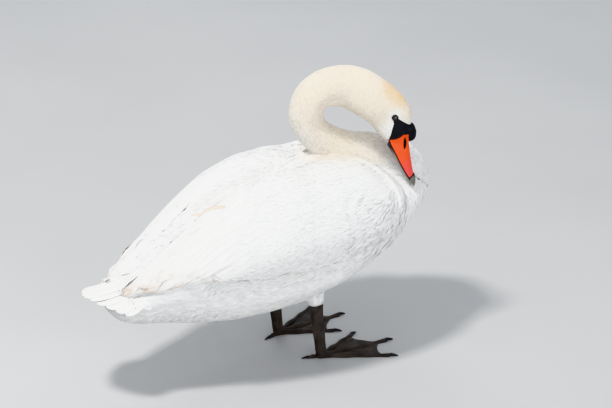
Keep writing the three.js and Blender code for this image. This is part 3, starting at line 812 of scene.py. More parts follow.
def skin_shapes(sizes):
    """The body's forms, each set in from the coat's outer surface by the coat's depth."""
    coat = sizes.coat_depth / MM
    trunk = loft(trunk_rings(np.linspace(0, len(TRUNK["x"]) - 1, 40), 48, coat))
    along = np.linspace(0, len(WING["x"]) - 1, 40)
    wings = [loft(wing_rings(along, side, 40, coat)) for side in (-1, 1)]
    t = np.linspace(0, len(NECK) - 1, 110)
    depth = through(NECK_COAT, t / (len(NECK) - 1) * (len(NECK_COAT) - 1))
    rings = neck_rings(t, 40, 0)
    middle = neck_frame(t)[0][:, None]
    spokes = rings - middle
    size = np.linalg.norm(spokes, axis=-1, keepdims=True)
    rings = middle + spokes * np.maximum(1 - depth[:, None, None] / size, 0.2)
    tail = loft(tail_rings(np.linspace(0, 2.2, 12), 24, 7))
    theta = np.linspace(0.05, math.pi - 0.05, 24)[:, None]
    cos, sin = circle(32)
    dome = np.stack([np.sin(theta) * cos, np.sin(theta) * sin, np.cos(theta) + 0 * cos], -1)
    mantle = loft(dome * (np.array(MANTLE["radii"]) - coat) + MANTLE["at"])
    thighs = [loft(thigh_rings(leg, 24, 2.5)) for leg in LEGS.values()]
    return [trunk, *wings, loft(rings), tail, mantle, *thighs]


def thigh_rings(leg, sides, inset):
    """Rings round a feathered thigh, from its foot up into the belly."""
    cos, sin = circle(sides)
    t = np.linspace(0, 1, 14)[:, None]
    size = THIGH["narrow"] + (THIGH["wide"] - THIGH["narrow"]) * t - inset
    z = THIGH["bottom"] + (THIGH["top"] - THIGH["bottom"]) * t
    x = leg["x"] - SHANK["slant"] - 14 * t + size * 1.15 * cos
    y = leg["y"] * (1 - 0.14 * t) + size * 0.9 * sin
    return np.stack([x, y, z + 0 * cos], -1)


def folded(points, normals):
    """Skin corners moved along their normals into soft waves and into the creases."""
    body = ease(40, 150, np.linalg.norm(points - [60, -20, 470], axis=-1))
    move = body * (0.9 * drift(points, 34, 3) + 1.1 * drift(points * [0.5, 1, 1], 60, 5))
    for crease in CREASES:
        sides = (-1, 1) if crease["both"] else (-1,)
        for side in sides:
            mirror = np.array([1, -side, 1])
            line, over = crease["line"] * mirror, crease["over"] * mirror
            move += crease_depth(points, normals, crease, line, over)
    away = np.linalg.norm(points - LOW_SHOULDER["at"], axis=-1)
    drop = LOW_SHOULDER["depth"] * ease(LOW_SHOULDER["reach"], 20, away) * ease(20, 34, points[:, 1])
    return points + normals * move[:, None] - np.array([0, 0, 1]) * drop[:, None]


def crease_depth(points, normals, crease, line, over):
    """How far a crease moves each corner: up on the side that lies on top, down on the other."""
    lengths = np.linalg.norm(np.diff(line, axis=0), axis=-1)
    starts = np.concatenate([[0], np.cumsum(lengths)])
    best = np.full(len(points), np.inf)
    offset, along, place = np.zeros_like(points), np.zeros_like(points), np.zeros(len(points))
    for a, b, length, start in zip(line, line[1:], lengths, starts):
        u = np.clip((points - a) @ (b - a) / length**2, 0, 1)
        away = points - a - u[:, None] * (b - a)
        size = np.linalg.norm(away, axis=-1)
        nearer = size < best
        best = np.where(nearer, size, best)
        offset[nearer], along[nearer] = away[nearer], (b - a) / length
        place = np.where(nearer, start + u * length, place)
    across = unit(np.cross(along, normals))
    across *= np.sign(dot(across, over))
    s = dot(offset, across)[:, 0]
    low = -crease["drop"] * ease(crease["below"], 0, -s)
    high = crease["swell"] * ease(crease["above"], 0, s)
    level = low + (high - low) * ease(-1.8, 1.8, s)
    near = ease(22, 10, np.abs(dot(offset, normals)[:, 0])) * ease(70, 50, best)
    return level * near * ease(0, 24, np.minimum(place, starts[-1] - place))


def neck_share(points):
    """How far each place belongs to the neck, from 0 to 1, and the nearest place on its line."""
    away = np.linalg.norm(points[:, None] - LINE_AT[None], axis=-1) / LINE_RADIUS[None]
    nearest = away.argmin(1)
    return ease(1.7, 1.12, away[np.arange(len(points)), nearest]), nearest


def lie_of_coat(points):
    """Which way feathers point at each place: down the neck, down the breast, back along the trunk."""
    on_neck, nearest = neck_share(points)
    on_neck = on_neck[:, None]
    chest = ease(60, 200, points[:, 0])[:, None]
    trunk = unit((1 - chest) * np.array([-1, 0, -0.16]) + chest * np.array([-0.35, 0, -1.0]))
    for leg in LEGS.values():
        aside = np.hypot(points[:, 0] - leg["x"] + SHANK["slant"], points[:, 1] - leg["y"])
        thigh = (ease(48, 28, aside) * ease(165, 135, points[:, 2]))[:, None]
        trunk = unit((1 - thigh) * trunk + thigh * np.array([-0.12, 0, -1.0]))
    return unit(on_neck * -LINE_ALONG[nearest] + (1 - on_neck) * trunk)


class Ground:
    """The skin as a surface to lay feathers on, in millimetres."""

    def __init__(self, mesh):
        count = len(mesh.vertices)
        flat = np.zeros(count * 3, np.float32)
        mesh.vertices.foreach_get("co", flat)
        self.corners = flat.reshape(-1, 3).astype(float) / MM - STANCE
        mesh.vertex_normals.foreach_get("vector", flat)
        self.normals = flat.reshape(-1, 3).astype(float).copy()
        starts = np.zeros(len(mesh.polygons), int)
        totals = np.zeros(len(mesh.polygons), int)
        mesh.polygons.foreach_get("loop_start", starts)
        mesh.polygons.foreach_get("loop_total", totals)
        loops = np.zeros(len(mesh.loops), int)
        mesh.loops.foreach_get("vertex_index", loops)
        uv = np.zeros(len(mesh.loops) * 2, np.float32)
        mesh.uv_layers["OFBake"].uv.foreach_get("vector", uv)
        pick = starts[:, None] + np.minimum(np.arange(4)[None], totals[:, None] - 1)
        self.faces = loops[pick]
        self.unwrap = uv.reshape(-1, 2).astype(float)[pick]
        self.tree = BVHTree.FromPolygons(self.corners.tolist(), self.faces.tolist())

    def settle(self, points):
        """The nearest places on the skin, their smooth normals and their places on its unwrap."""
        find = self.tree.find_nearest
        found = [find(p) for p in points.tolist()]
        place = np.array([f[0] for f in found])
        face = np.array([f[2] for f in found])
        ring = self.corners[self.faces[face]]
        weight = 1 / (((ring - place[:, None]) ** 2).sum(-1) + 0.05)
        weight /= weight.sum(1, keepdims=True)
        normal = unit((self.normals[self.faces[face]] * weight[..., None]).sum(1))
        patch = (self.unwrap[face] * weight[..., None]).sum(1)
        return place, normal, patch


def tangent(way, normal):
    """Ways laid flat on the surface."""
    return unit(way - normal * dot(way, normal))


def turned(way, normal, angle):
    """Ways turned in the surface by angles."""
    angle = np.asarray(angle)[:, None]
    return way * np.cos(angle) + np.cross(normal, way) * np.sin(angle)


# cross-sections of a feather, right to left: place across and height, each closed underneath
SLIM = np.array([[1, 0], [0, 1], [-1, 0]], float)
FULL = np.array([[1, 0], [0.5, 0.75], [0, 1], [-0.5, 0.75], [-1, 0], [0, -0.1]], float)
SHAFTED = np.array([
    [1, 0], [0.75, 0.5], [0.4, 0.8], [0.06, 0.9], [0, 1.9], [-0.06, 0.9], [-0.4, 0.8], [-0.75, 0.5],
    [-1, 0], [0, -0.1],
], float)


class Coat:
    """Many thin closed feathers, gathered into one mesh."""

    def __init__(self):
        self.corners, self.faces, self.patches, self.vanes = [], [], [], []
        self.tones, self.stains = [], []
        self.count = 0

    def add(self, rings, tips, patch, section, t, rng, stain):
        """Adds closed feathers: rings of corners (feather, ring, corner, xyz) and their tips. A stain
        over 0 soils the tips, and one under 0 makes the whole feather creamy."""
        n, k, m = rings.shape[:3]
        corners = np.concatenate([rings.reshape(n, k * m, 3), tips[:, None]], 1)
        base = self.count + np.arange(n)[:, None, None] * (k * m + 1)
        self.corners.append(corners.reshape(-1, 3))
        self.faces.append((vane_faces(m, k)[None] + base).reshape(-1, 3))
        local = np.array([(s, v) for v in t[:-1] for s in section[:, 0]] + [(0.0, 1.0)])
        offset = (local * [0.5, 1] - [0, 0.5]) * PATCH
        self.patches.append((patch[:, None] + offset[None]).reshape(-1, 2))
        self.vanes.append(np.broadcast_to(local[None], (n, len(local), 2)).reshape(-1, 2))
        self.tones.append(np.repeat(rng.uniform(-1, 1, n), k * m + 1))
        stain = np.broadcast_to(np.asarray(stain, float), (n,))[:, None]
        worn = ease(0.72, 1.0, local[:, 1] + 0.1 * np.abs(local[:, 0]))[None]
        self.stains.append(np.where(stain > 0, stain * worn, stain + 0 * worn).ravel())
        self.count += n * (k * m + 1)

    def lay(self, ground, roots, length, width, depth, rng, stray, thick, sway, section=SLIM,
            stations=(0, 0.3, 0.6, 0.85, 1), shape=(0.5, 0.95, 1, 0.72), camber=0.10, lift=0.0,
            droop=0.25, drape=False):
        """Lays one feather at each root, along the skin, with its tip over the next ones. It rises
        by its depth and its lift, droops at the tip, and strays and sways from the coat's lie."""
        n = len(roots)
        length, width, depth, lift = (
            np.broadcast_to(np.asarray(v, float), (n,)) for v in (length, width, depth, lift)
        )
        place, normal, patch = ground.settle(roots)
        turn = rng.normal(0, stray, n) + sway * drift(place, 26, 8)
        heading = turned(tangent(lie_of_coat(place), normal), normal, turn)
        places, normals, headings = [place], [normal], [heading]
        for a, b in zip(stations, stations[1:]):
            move = places[-1] + headings[-1] * (length * (b - a))[:, None]
            place, normal, _ = ground.settle(move)
            step = unit(place - places[-1] + 1e-6)
            places.append(place)
            normals.append(normal)
            headings.append(tangent(step + 0.5 * headings[-1], normal))
        t = np.array(stations)
        rise = (0.12 + 0.88 * t) - droop * ease(0.75, 1.0, t)
        height = depth[:, None] * rise + lift[:, None] * (0.2 + 0.8 * ease(0, 0.5, t))
        centre, up, heading = (np.stack(v, 1) for v in (places, normals, headings))
        side = np.cross(up, heading)
        half = 0.5 * width[:, None] * np.array([*shape, 0.0])
        offset = section[:, 0] * half[:, :-1, None]
        bend = -camber * (section[:, 0] ** 2) * 2 * half[:, :-1, None]
        over = section[:, 1] * thick * np.array(shape)[:, None] ** 0.5 + bend
        foot = centre[:, :-1, None] + side[:, :-1, None] * offset[..., None]
        lean = up[:, :-1, None]
        if drape:
            flat, lean, _ = ground.settle(foot.reshape(-1, 3))
            foot, lean = flat.reshape(foot.shape), lean.reshape(foot.shape)
        rings = foot + lean * (height[:, :-1, None] + over)[..., None]
        tips = centre[:, -1] + up[:, -1] * height[:, -1:]
        self.add(rings, tips, patch, section, t, rng, 0.0)

    def draw(self, ground, paths, width, lift, rng, stain, hold=1.0, thick=0.5):
        """Draws one long feather along each path: spread over the skin, its tip as free as hold says."""
        n, rows = paths.shape[:2]
        t = np.array(VANE_T)
        flat, up, patch = ground.settle(paths.reshape(-1, 3))
        flat, up = flat.reshape(paths.shape), up.reshape(paths.shape)
        heading = tangent(np.gradient(paths, axis=1), up)
        side = np.cross(up, heading)
        free = (hold * ease(0.55, 0.95, t))[None, :, None]
        height = np.broadcast_to(np.asarray(lift, float), (n,))[:, None] * (1 - 0.5 * ease(0.8, 1, t))
        spine = (1 - free) * (flat + up * height[..., None]) + free * paths
        shape = np.array(VANE_SHAPE)
        half = 0.5 * np.broadcast_to(np.asarray(width, float), (n,))[:, None, None] * shape[:, None]
        offset = SHAFTED[:, 0] * half
        over = SHAFTED[:, 1] * thick * shape[:, None] ** 0.5
        over = over - 0.6 * height[:, :-1, None] * SHAFTED[:, 0] ** 4
        foot = flat[:, :-1, None] + side[:, :-1, None] * offset[..., None]
        place, lean, _ = ground.settle(foot.reshape(-1, 3))
        place, lean = place.reshape(foot.shape), lean.reshape(foot.shape)
        spread = place + lean * (height[:, :-1, None] + over)[..., None]
        loose = spine[:, :-1, None] + side[:, :-1, None] * offset[..., None]
        loose = loose + up[:, :-1, None] * over[..., None]
        rings = (1 - free[:, :-1, None]) * spread + free[:, :-1, None] * loose
        self.add(rings, spine[:, -1], patch.reshape(n, rows, 2)[:, 0], SHAFTED, t, rng, stain)

    def build(self, name, material, nodes=()):
        """The gathered feathers as one piece."""
        corners = np.concatenate(self.corners)
        faces = np.concatenate(self.faces)
        mesh = bpy.data.meshes.new(name)
        mesh.vertices.add(len(corners))
        mesh.vertices.foreach_set("co", to_row(corners).astype(np.float32).ravel())
        mesh.loops.add(faces.size)
        mesh.loops.foreach_set("vertex_index", faces.astype(np.int32).ravel())
        mesh.polygons.add(len(faces))
        mesh.polygons.foreach_set("loop_start", np.arange(0, faces.size, 3, dtype=np.int32))
        mesh.update(calc_edges=True)
        for layer, values in (("OFBake", self.patches), ("Vane", self.vanes)):
            flat = np.concatenate(values)[faces.ravel()].astype(np.float32)
            mesh.uv_layers.new(name=layer).uv.foreach_set("vector", flat.ravel())
        for layer, values in (("tone", self.tones), ("stain", self.stains)):
            mesh.attributes.new(layer, "FLOAT", "POINT").data.foreach_set(
                "value", np.concatenate(values).astype(np.float32)
            )
        mesh.shade_smooth()
        mesh.set_sharp_from_angle(angle=math.radians(48))
        return finish_piece(placed(name, mesh, material), nodes)


def vane_faces(m, k):
    """The triangles of a feather with k rings of m corners and one tip."""
    faces = []
    for r in range(k - 1):
        for s in range(m):
            a, b = r * m + s, r * m + (s + 1) % m
            faces += [(a, b, b + m), (a, b + m, a + m)]
    faces += [(0, s + 1, s) for s in range(1, m - 1)]
    tip = k * m
    last = (k - 1) * m
    faces += [(last + s, last + (s + 1) % m, tip) for s in range(m)]
    return np.array(faces)


def rows_over(ring_at, places, lengths, share, scale, rng):
    """Staggered roots over a lofted form, in rows along it and places round each row, for feathers of
    these lengths, with their width as a share of it."""
    roots, sizes = [], []
    t, end = places
    row = 0
    while t < end:
        size = scale * float(through(lengths, t))
        ring = ring_at(np.array([t]))[0]
        steps = np.linalg.norm(np.roll(ring, -1, 0) - ring, axis=-1)
        reach = np.concatenate([[0], np.cumsum(steps)])
        count = max(int(reach[-1] / (share * size * ROOT_STEP)), 3)
        at = (np.arange(count) + 0.5 * (row % 2) + rng.uniform(-0.28, 0.28, count)) / count * reach[-1]
        at %= reach[-1]
        closed = np.concatenate([ring, ring[:1]])
        roots.append(np.stack([np.interp(at, reach, closed[:, k]) for k in range(3)], -1))
        sizes.append(np.full(count, t))
        ahead = ring_at(np.array([t + 0.01]))[0]
        pace = np.linalg.norm(ahead - ring, axis=-1).max() / 0.01
        t += size * ROW_STEP / max(pace, 1)
        row += 1
    return np.concatenate(roots), np.concatenate(sizes)


def scatter(ground, count, share, rng):
    """Places strewn over the skin, in proportion to its area and to a share for each place."""
    ring = ground.corners[ground.faces]
    area = np.linalg.norm(np.cross(ring[:, 2] - ring[:, 0], ring[:, 3] - ring[:, 1]), axis=-1)
    chance = area * share(ring.mean(1))
    a, b, c, d = ring[rng.choice(len(area), count, p=chance / chance.sum())].transpose(1, 0, 2)
    u, v = rng.random((2, count, 1))
    return (1 - u) * ((1 - v) * a + v * d) + u * ((1 - v) * b + v * c)


def near_skin(ground, roots, reach):
    """Which roots lie close to the skin, and not inside the body."""
    place, _, _ = ground.settle(roots)
    return np.linalg.norm(place - roots, axis=-1) < reach


def bare_face(points):
    """Which places are bare: the lores, the eyes and where the bill grows."""
    f, g, left = head_local(points).T
    lores = LORES["slant"][0] * f + LORES["slant"][1] * g > LORES["start"] - 1
    lores &= (g - LORES["slope"] * f < LORES["top"] + 0.5) & (g > LORES["low"] + 1) & (f > LORES["back"])
    eye = np.hypot(f - EYE["at"][0], g - EYE["at"][1]) < 6.0
    point = np.hypot(f - LORE_POINT[0], g - LORE_POINT[1]) < LORE_POINT[2]
    return (np.abs(left) < 40) & (f < 60) & (f > -60) & (lores | eye | point)


def skin_ground():
    """The finished skin, to lay feathers on."""
    obj = bpy.data.objects.get(SKIN)
    if obj is None:
        raise RuntimeError("the skin is built first, because the feathers are laid on it")
    return Ground(obj.data)


# ---- sub-parts of the head and legs ----


def mandible(kind, rows=70, sides=40):
    """One mandible, arched away from the cutting edge, and how high each place is over that edge."""
    arch, width, shift, start = MANDIBLES[kind]
    t = np.linspace(start, len(BILL["forward"]) - 1, rows)
    forward = through(BILL["forward"], t)[:, None]
    edge = through(BILL["edge"], t)[:, None] + shift
    rise = through(BILL[arch], t)[:, None]
    wide = through(BILL[width], t)[:, None]
    angle = np.linspace(0, math.pi, sides)[None]
    share = np.maximum(np.sin(angle), 0) ** 0.85
    local = np.stack([forward + 0 * angle, edge + (rise - edge) * share, wide * np.cos(angle)], -1)
    return local, (rise - edge) * share


def upper_mandible():
    """The upper mandible with its nostril slots sunk in it."""
    local, height = mandible("upper", 110, 64)
    tilt = math.radians(NOSTRIL["tilt"])
    f0, g0 = NOSTRIL["from"]
    length = NOSTRIL["length"]
    along = (local[..., 0] - f0) * math.cos(tilt) + (local[..., 1] - g0) * math.sin(tilt)
    across = -(local[..., 0] - f0) * math.sin(tilt) + (local[..., 1] - g0) * math.cos(tilt)
    off = np.hypot((along - length / 2) / (length / 2), across / NOSTRIL["height"])
    slot = ease(1.2, 0.7, off)
    rim = np.exp(-((off - 1.4) / 0.3) ** 2)
    inward = -np.sign(local[..., 2]) * (NOSTRIL["depth"] * slot - 0.4 * rim)
    local[..., 2] += inward * (np.abs(local[..., 2]) > 1)
    return local, height, slot


def shank_rings(leg, sides=28):
    """The bare shank with its ringed scutes."""
    ankle, middle, foot = SHANK["ankle"], SHANK["middle"], SHANK["foot"]
    heights = [FOOT["toe"] + 4, 30, 55, 80, 96, ANKLE, SHANK["top"]]
    deep = [foot, middle - 1, middle, middle, ankle - 1, ankle, ankle - 4]
    t = np.linspace(0, 6, 90)
    z = through(heights, t)[:, None]
    cos, sin = circle(sides)
    scutes = 0.35 * np.abs(np.sin(z * math.pi / 5.5)) * np.clip(cos, 0, 1)
    reach = through(deep, t)[:, None] - 0.35 + scutes
    x = leg["x"] - SHANK["slant"] * z / ANKLE + reach * cos
    return np.stack([x, leg["y"] + reach * SHANK["flatness"] * sin, z + 0 * cos], -1)


def spin(points, degrees):
    """Places turned about the upright axis."""
    turn = math.radians(degrees)
    c, s = math.cos(turn), math.sin(turn)
    x, y, z = np.moveaxis(points, -1, 0)
    return np.stack([c * x - s * y, s * x + c * y, z], -1)


def toe_rings(toe, rows=44, sides=18):
    """A scaly toe: a half-round bar with a flat sole and low cross ridges."""
    t = np.linspace(0, 1, rows)[:, None]
    knuckle = np.where(t == 0, 0.6, 1 + 0.13 * np.cos(t * 6 * math.pi))
    wide = toe["half"] * (1 - 0.38 * t) * knuckle
    tall = FOOT["toe"] * (1 - 0.42 * t) * knuckle
    angle = np.linspace(0, math.pi, sides)[None]
    ridges = 1 - 0.035 * np.abs(np.sin(t * toe["length"] * math.pi / 5.0))
    points = np.stack([
        toe["length"] * t + 0 * angle, wide * np.cos(angle) * ridges, tall * np.sin(angle) * ridges
    ], -1)
    return spin(points, toe["swing"])


def claw_rings(toe, rows=10, sides=14):
    """Rings of a claw that runs on from its toe's tip and bends to the ground."""
    t = np.linspace(0, 1, rows)[:, None]
    size = min(1, toe["half"] / 6)
    cos, sin = circle(sides)
    wide = CLAW["half"] * size * (1 - 0.8 * t**1.4)
    top = CLAW["rise"] * size * (1 - 0.72 * t * t)
    bottom = 0.9 * (1 - t)
    z = bottom + (top - bottom) * (1 + sin) / 2
    points = np.stack([toe["length"] + 0.3 + CLAW["length"] * size * t + 0 * cos, wide * cos, z], -1)
    return spin(points, toe["swing"])


def web_solid(rows=26, columns=40):
    """The web between the front toes: a thin sheet with low folds, its front edge hollow."""
    tips = []
    for name in ("outer", "middle", "inner"):
        toe = TOES[name]
        turn = math.radians(toe["swing"])
        tips.append(np.array([math.cos(turn), math.sin(turn)]) * toe["length"] * 0.9)
    edge = []
    for a, b in zip(tips, tips[1:]):
        pull = (a + b) / 2 * 0.86
        u = np.linspace(0, 1, columns // 2)[:, None]
        edge.append((1 - u) ** 2 * a + 2 * u * (1 - u) * pull + u**2 * b)
    edge = np.concatenate([edge[0], edge[1][1:]])
    r = np.linspace(0.02, 1, rows)[:, None, None]
    flat = edge[None] * r
    count = edge.shape[0]
    wave = np.sin(np.linspace(0, 9 * math.pi, count))[None] * 0.35 * r[..., 0]
    thick = FOOT["web"] - FOOT["rise"]
    top = np.concatenate([flat, (FOOT["rise"] + thick - 0.4 + wave - 0.5 * r[..., 0])[..., None]], -1)
    low = np.concatenate([flat, np.full((rows, count, 1), FOOT["rise"])], -1)
    corners = np.concatenate([top.reshape(-1, 3), low.reshape(-1, 3)])
    grid = np.arange(rows * count).reshape(rows, count)
    a, b, c, d = grid[:-1, :-1], grid[:-1, 1:], grid[1:, 1:], grid[1:, :-1]
    under = rows * count
    faces = np.stack([d, c, b, a], -1).reshape(-1, 4).tolist()
    faces += (np.stack([a, b, c, d], -1).reshape(-1, 4) + under).tolist()
    loop = [*grid[0], *grid[1:, -1], *grid[-1, ::-1][1:], *grid[::-1, 0][1:-1]]
    faces += [[p, q, q + under, p + under] for p, q in zip(loop, loop[1:] + loop[:1])]
    return corners, faces


# ---- settings ----


def tint(name, value, text):
    """A colour that may be changed."""
    return bpy.props.FloatVectorProperty(
        name=name, description=text, default=value, size=3, min=0, max=1, subtype="COLOR"
    )


class SwanSizes(bpy.types.PropertyGroup):
    """Sizes of the swan that may be changed."""

    coat_depth: bpy.props.FloatProperty(
        name="Coat depth", description="How deep the plumage lies on the trunk", default=0.005,
        min=0.002, max=0.012, unit="LENGTH", subtype="DISTANCE",
    )
    skin_grid: bpy.props.FloatProperty(
        name="Skin grid", description="Size of the skin's faces", default=0.0032, min=0.002,
        max=0.01, unit="LENGTH", subtype="DISTANCE",
    )
    feather_scale: bpy.props.FloatProperty(
        name="Feather size", description="Size of the feathers against life", default=1.0, min=0.5,
        max=2.0, subtype="FACTOR",
    )
    floor_span: bpy.props.FloatProperty(
        name="Floor span", description="Width of the studio floor",
        default=30 * max(b - a for a, b in zip(*CAD_BOX)), min=2, unit="LENGTH", subtype="DISTANCE",
    )


class SwanColours(bpy.types.PropertyGroup):
    """Colours of the swan that may be changed."""

    white: tint("White", (0.86, 0.86, 0.85), "Plumage of the body")
    shadow_white: tint("Soft white", (0.77, 0.78, 0.80), "Painted cool shade in soft patches over the plumage")
    # shadow_white: painted cool shade, mixed into the plumage in soft random patches
    cream: tint("Cream", (0.80, 0.725, 0.615), "Stained plumage of the neck")
    buff: tint("Buff", (0.80, 0.58, 0.33), "Stained plumage of the crown")
    # soil: soiled tips, and also the brown of the painted shade along the wing's creases
    soil: tint("Soil", (0.45, 0.33, 0.22), "Soiled feather tips, and soil with painted shade in the wing's creases")
    orange: tint("Orange", (0.87, 0.105, 0.022), "Horn of the bill")
    red: tint("Red", (0.80, 0.09, 0.085), "Horn near the bill's tip")
    pale_orange: tint("Pale orange", (0.88, 0.14, 0.03), "Streaks in the horn")
    black: tint("Black", (0.012, 0.012, 0.015), "Knob, lores and edges of the bill")
    # the nail's grey: worn horn, lightened as a painted glare
    nail_grey_with_painted_glare: tint("Nail grey", (0.19, 0.19, 0.165), "Worn nail of the bill, lightened as a painted glare")
    # the jaw's grey: worn horn, lightened as painted light
    jaw_grey_with_painted_light: tint("Jaw grey", (0.33, 0.315, 0.275), "Worn side of the lower mandible, lightened as painted light")
    leg: tint("Leg", (0.040, 0.033, 0.030), "Bare skin of the legs and feet")
    leg_light: tint("Leg, light", (0.085, 0.070, 0.060), "Paler patches of the legs")
    floor: tint("Floor", (0.50, 0.505, 0.51), "Studio floor")


# ---- operators ----


class SWAN_OT_skin(bpy.types.Operator):
    """Builds the one skin that stands for the trunk, neck, head, wings and thighs"""

    bl_idname = "swan.skin"
    bl_label = "Skin"

    def execute(self, context):
        sizes = context.scene.swan_sizes
        mesh = merged(SKIN, skin_shapes(sizes), sizes.skin_grid, 8)
        fold_skin(mesh)
        obj = placed(SKIN, mesh, skin_finish())
        unwrap(obj)
        flesh = ["trunk", "rump", "neck_lower", "neck_middle", "neck_upper", "head"]
        sides = [f"{part}_{side}" for part in ("wing", "thigh") for side in LEGS]
        finish_piece(obj, flesh + sides)
        return {"FINISHED"}


def fold_skin(mesh):
    """Gives the skin's mesh its waves and creases."""
    flat = np.zeros(len(mesh.vertices) * 3, np.float32)
    mesh.vertices.foreach_get("co", flat)
    points = flat.reshape(-1, 3).astype(float) / MM - STANCE
    mesh.vertex_normals.foreach_get("vector", flat)
    normals = flat.reshape(-1, 3).astype(float)
    mesh.vertices.foreach_set("co", to_row(folded(points, normals)).astype(np.float32).ravel())
    mesh.update()


def unwrap(obj):
    """The skin's own unwrap, which the feathers share."""
    context = bpy.context
    context.view_layer.objects.active = obj
    obj.select_set(True)
    obj.data.uv_layers.new(name="OFBake")
    bpy.ops.object.mode_set(mode="EDIT")
    bpy.ops.mesh.select_all(action="SELECT")
    bpy.ops.uv.smart_project(angle_limit=math.radians(70), island_margin=0.002)
    bpy.ops.object.mode_set(mode="OBJECT")
    obj.select_set(False)


class SWAN_OT_neck_coat(bpy.types.Operator):
    """Lays the short dense feathers of the head and neck"""

    bl_idname = "swan.neck_coat"
    bl_label = "Head and neck plumage"

    def execute(self, context):
        ground = skin_ground()
        scale = context.scene.swan_sizes.feather_scale
        rng = np.random.default_rng(SEEDS["neck"])
        last = len(NECK) - 1
        roots, t = rows_over(lambda t: neck_rings(t, 64, 2.5), (0.2, last - 0.3), NECK_FEATHERS,
                             0.42, scale, rng)
        keep = near_skin(ground, roots, 9.0) & ~bare_face(roots)
        roots, t = roots[keep], t[keep]
        size = scale * through(NECK_FEATHERS, t) * rng.uniform(0.85, 1.15, len(t))
        for name, low, high in NECK_PARTS:
            part = (t > low) & (t <= high)
            coat = Coat()
            coat.lay(ground, roots[part], size[part], 0.36 * size[part], 0.19 * size[part], rng,
                     stray=0.13, thick=0.22, sway=0.28)
            coat.build(name, material("plumage", plumage_finish))
        return {"FINISHED"}


class SWAN_OT_body_coat(bpy.types.Operator):
    """Lays the feathers of the breast, belly, rump and thighs"""

    bl_idname = "swan.body_coat"
    bl_label = "Body plumage"

    def execute(self, context):
        ground = skin_ground()
        scale = context.scene.swan_sizes.feather_scale
        rng = np.random.default_rng(SEEDS["body"])
        roots, t = rows_over(lambda t: trunk_rings(t, 90, 5), (0.05, 12.3), BODY_FEATHERS, 0.5,
                             scale, rng)
        keep = near_skin(ground, roots, 6.0)
        roots, t = roots[keep], t[keep]
        size = scale * through(BODY_FEATHERS, t) * rng.uniform(0.85, 1.2, len(t))
        size *= 1 - 0.6 * neck_share(roots)[0]
        coat = Coat()
        coat.lay(ground, roots, size, 0.56 * size, 0.055 * size, rng, stray=0.08, thick=0.3, sway=0.12)
        coat.build("body_coat", material("plumage", plumage_finish))
        return {"FINISHED"}


class SWAN_OT_wing_coat(bpy.types.Operator):
    """Lays the coverts and scapulars over the folded wings"""

    bl_idname = "swan.wing_coat"
    bl_label = "Wing coverts"

    def execute(self, context):
        ground = skin_ground()
        scale = context.scene.swan_sizes.feather_scale
        rng = np.random.default_rng(SEEDS["wings"])
        for name, side in (("right", -1), ("left", 1)):
            roots, t = rows_over(lambda t: wing_rings(t, side, 80, 5), (0.05, 6.3), COVERTS, 0.5,
                                 scale, rng)
            keep = near_skin(ground, roots, 12.0) & (roots[:, 2] > through(WING["low_z"], t) + 4)
            roots, t = roots[keep], t[keep]
            size = scale * through(COVERTS, t) * rng.uniform(0.9, 1.12, len(t))
            coat = Coat()
            coat.lay(ground, roots, size, 0.5 * size, 0.02 * size + 0.4, rng, stray=0.05, thick=0.45,
                     sway=0.08, section=FULL, stations=(0, 0.25, 0.5, 0.7, 0.85, 0.94, 1),
                     shape=(0.45, 0.85, 1, 0.97, 0.8, 0.5), camber=0.03, droop=0.5, drape=True)
            coat.build(f"wing_coverts_{name}", material("covert", covert_finish))
        return {"FINISHED"}


class SWAN_OT_flight(bpy.types.Operator):
    """Lays the folded wings' long feathers: tertials over secondaries over primaries"""

    bl_idname = "swan.flight"
    bl_label = "Flight feathers"

    def execute(self, context):
        ground = skin_ground()
        rng = np.random.default_rng(SEEDS["flight"])
        u = np.array(VANE_T)
        for name, side in (("right", -1), ("left", 1)):
            coat = Coat()
            for group in FLIGHT.values():
                share = np.linspace(0, 1, group["count"])[:, None]
                root_t, root_angle, tip_t, tip_angle = (
                    a + (b - a) * share for a, b in (*group["root"], *group["tip"])
                )
                root_angle = root_angle + rng.normal(0, 0.03, share.shape)
                t = root_t + (tip_t - root_t) * u
                angle = root_angle + (tip_angle - root_angle) * u**1.6
                width, lift, inset, soil = (
                    a + (b - a) * share[:, 0] for a, b in
                    (group["width"], group["lift"], group["inset"], group["soil"])
                )
                paths = wing_surface(t, angle, side, inset[:, None])
                stain = soil * rng.uniform(0.5, 1.2, len(soil)) * (1 if side < 0 else 0.4)
                coat.draw(ground, paths, width, lift, rng, stain, hold=0.5)
            if side < 0:
                a, b = (np.array(LOOSE_FEATHER[end], float) for end in ("from", "to"))
                path = a + (b - a) * u[:, None] + np.array([0, 0, 3]) * np.sin(math.pi * u)[:, None]
                coat.draw(ground, path[None], LOOSE_FEATHER["width"], LOOSE_FEATHER["lift"], rng, -0.9)
            coat.build(f"flight_feathers_{name}", material("flight_feather", flight_finish))
        return {"FINISHED"}


class SWAN_OT_tail(bpy.types.Operator):
    """Builds the tail: twelve stiff feathers in a drooping fan, the middle pair on top"""

    bl_idname = "swan.tail"
    bl_label = "Tail feathers"

    def execute(self, context):
        rng = np.random.default_rng(SEEDS["tail"])
        coat = Coat()
        for pair in range(len(RECTRICES["tip_x"]) - 1, -1, -1):
            for side in (-1, 1):
                rings, tip = rectrix(pair, side)
                patch = np.array([[0.02 + 0.004 * pair, 0.03 + 0.01 * (side > 0)]])
                cream = rng.uniform(0.02, 0.12)
                coat.add(rings, tip, patch, SHAFTED, np.array(VANE_T), rng, -cream)
        finish = material("flight_feather", flight_finish)
        coat.build("tail_feathers", finish, ["tail"])
        return {"FINISHED"}


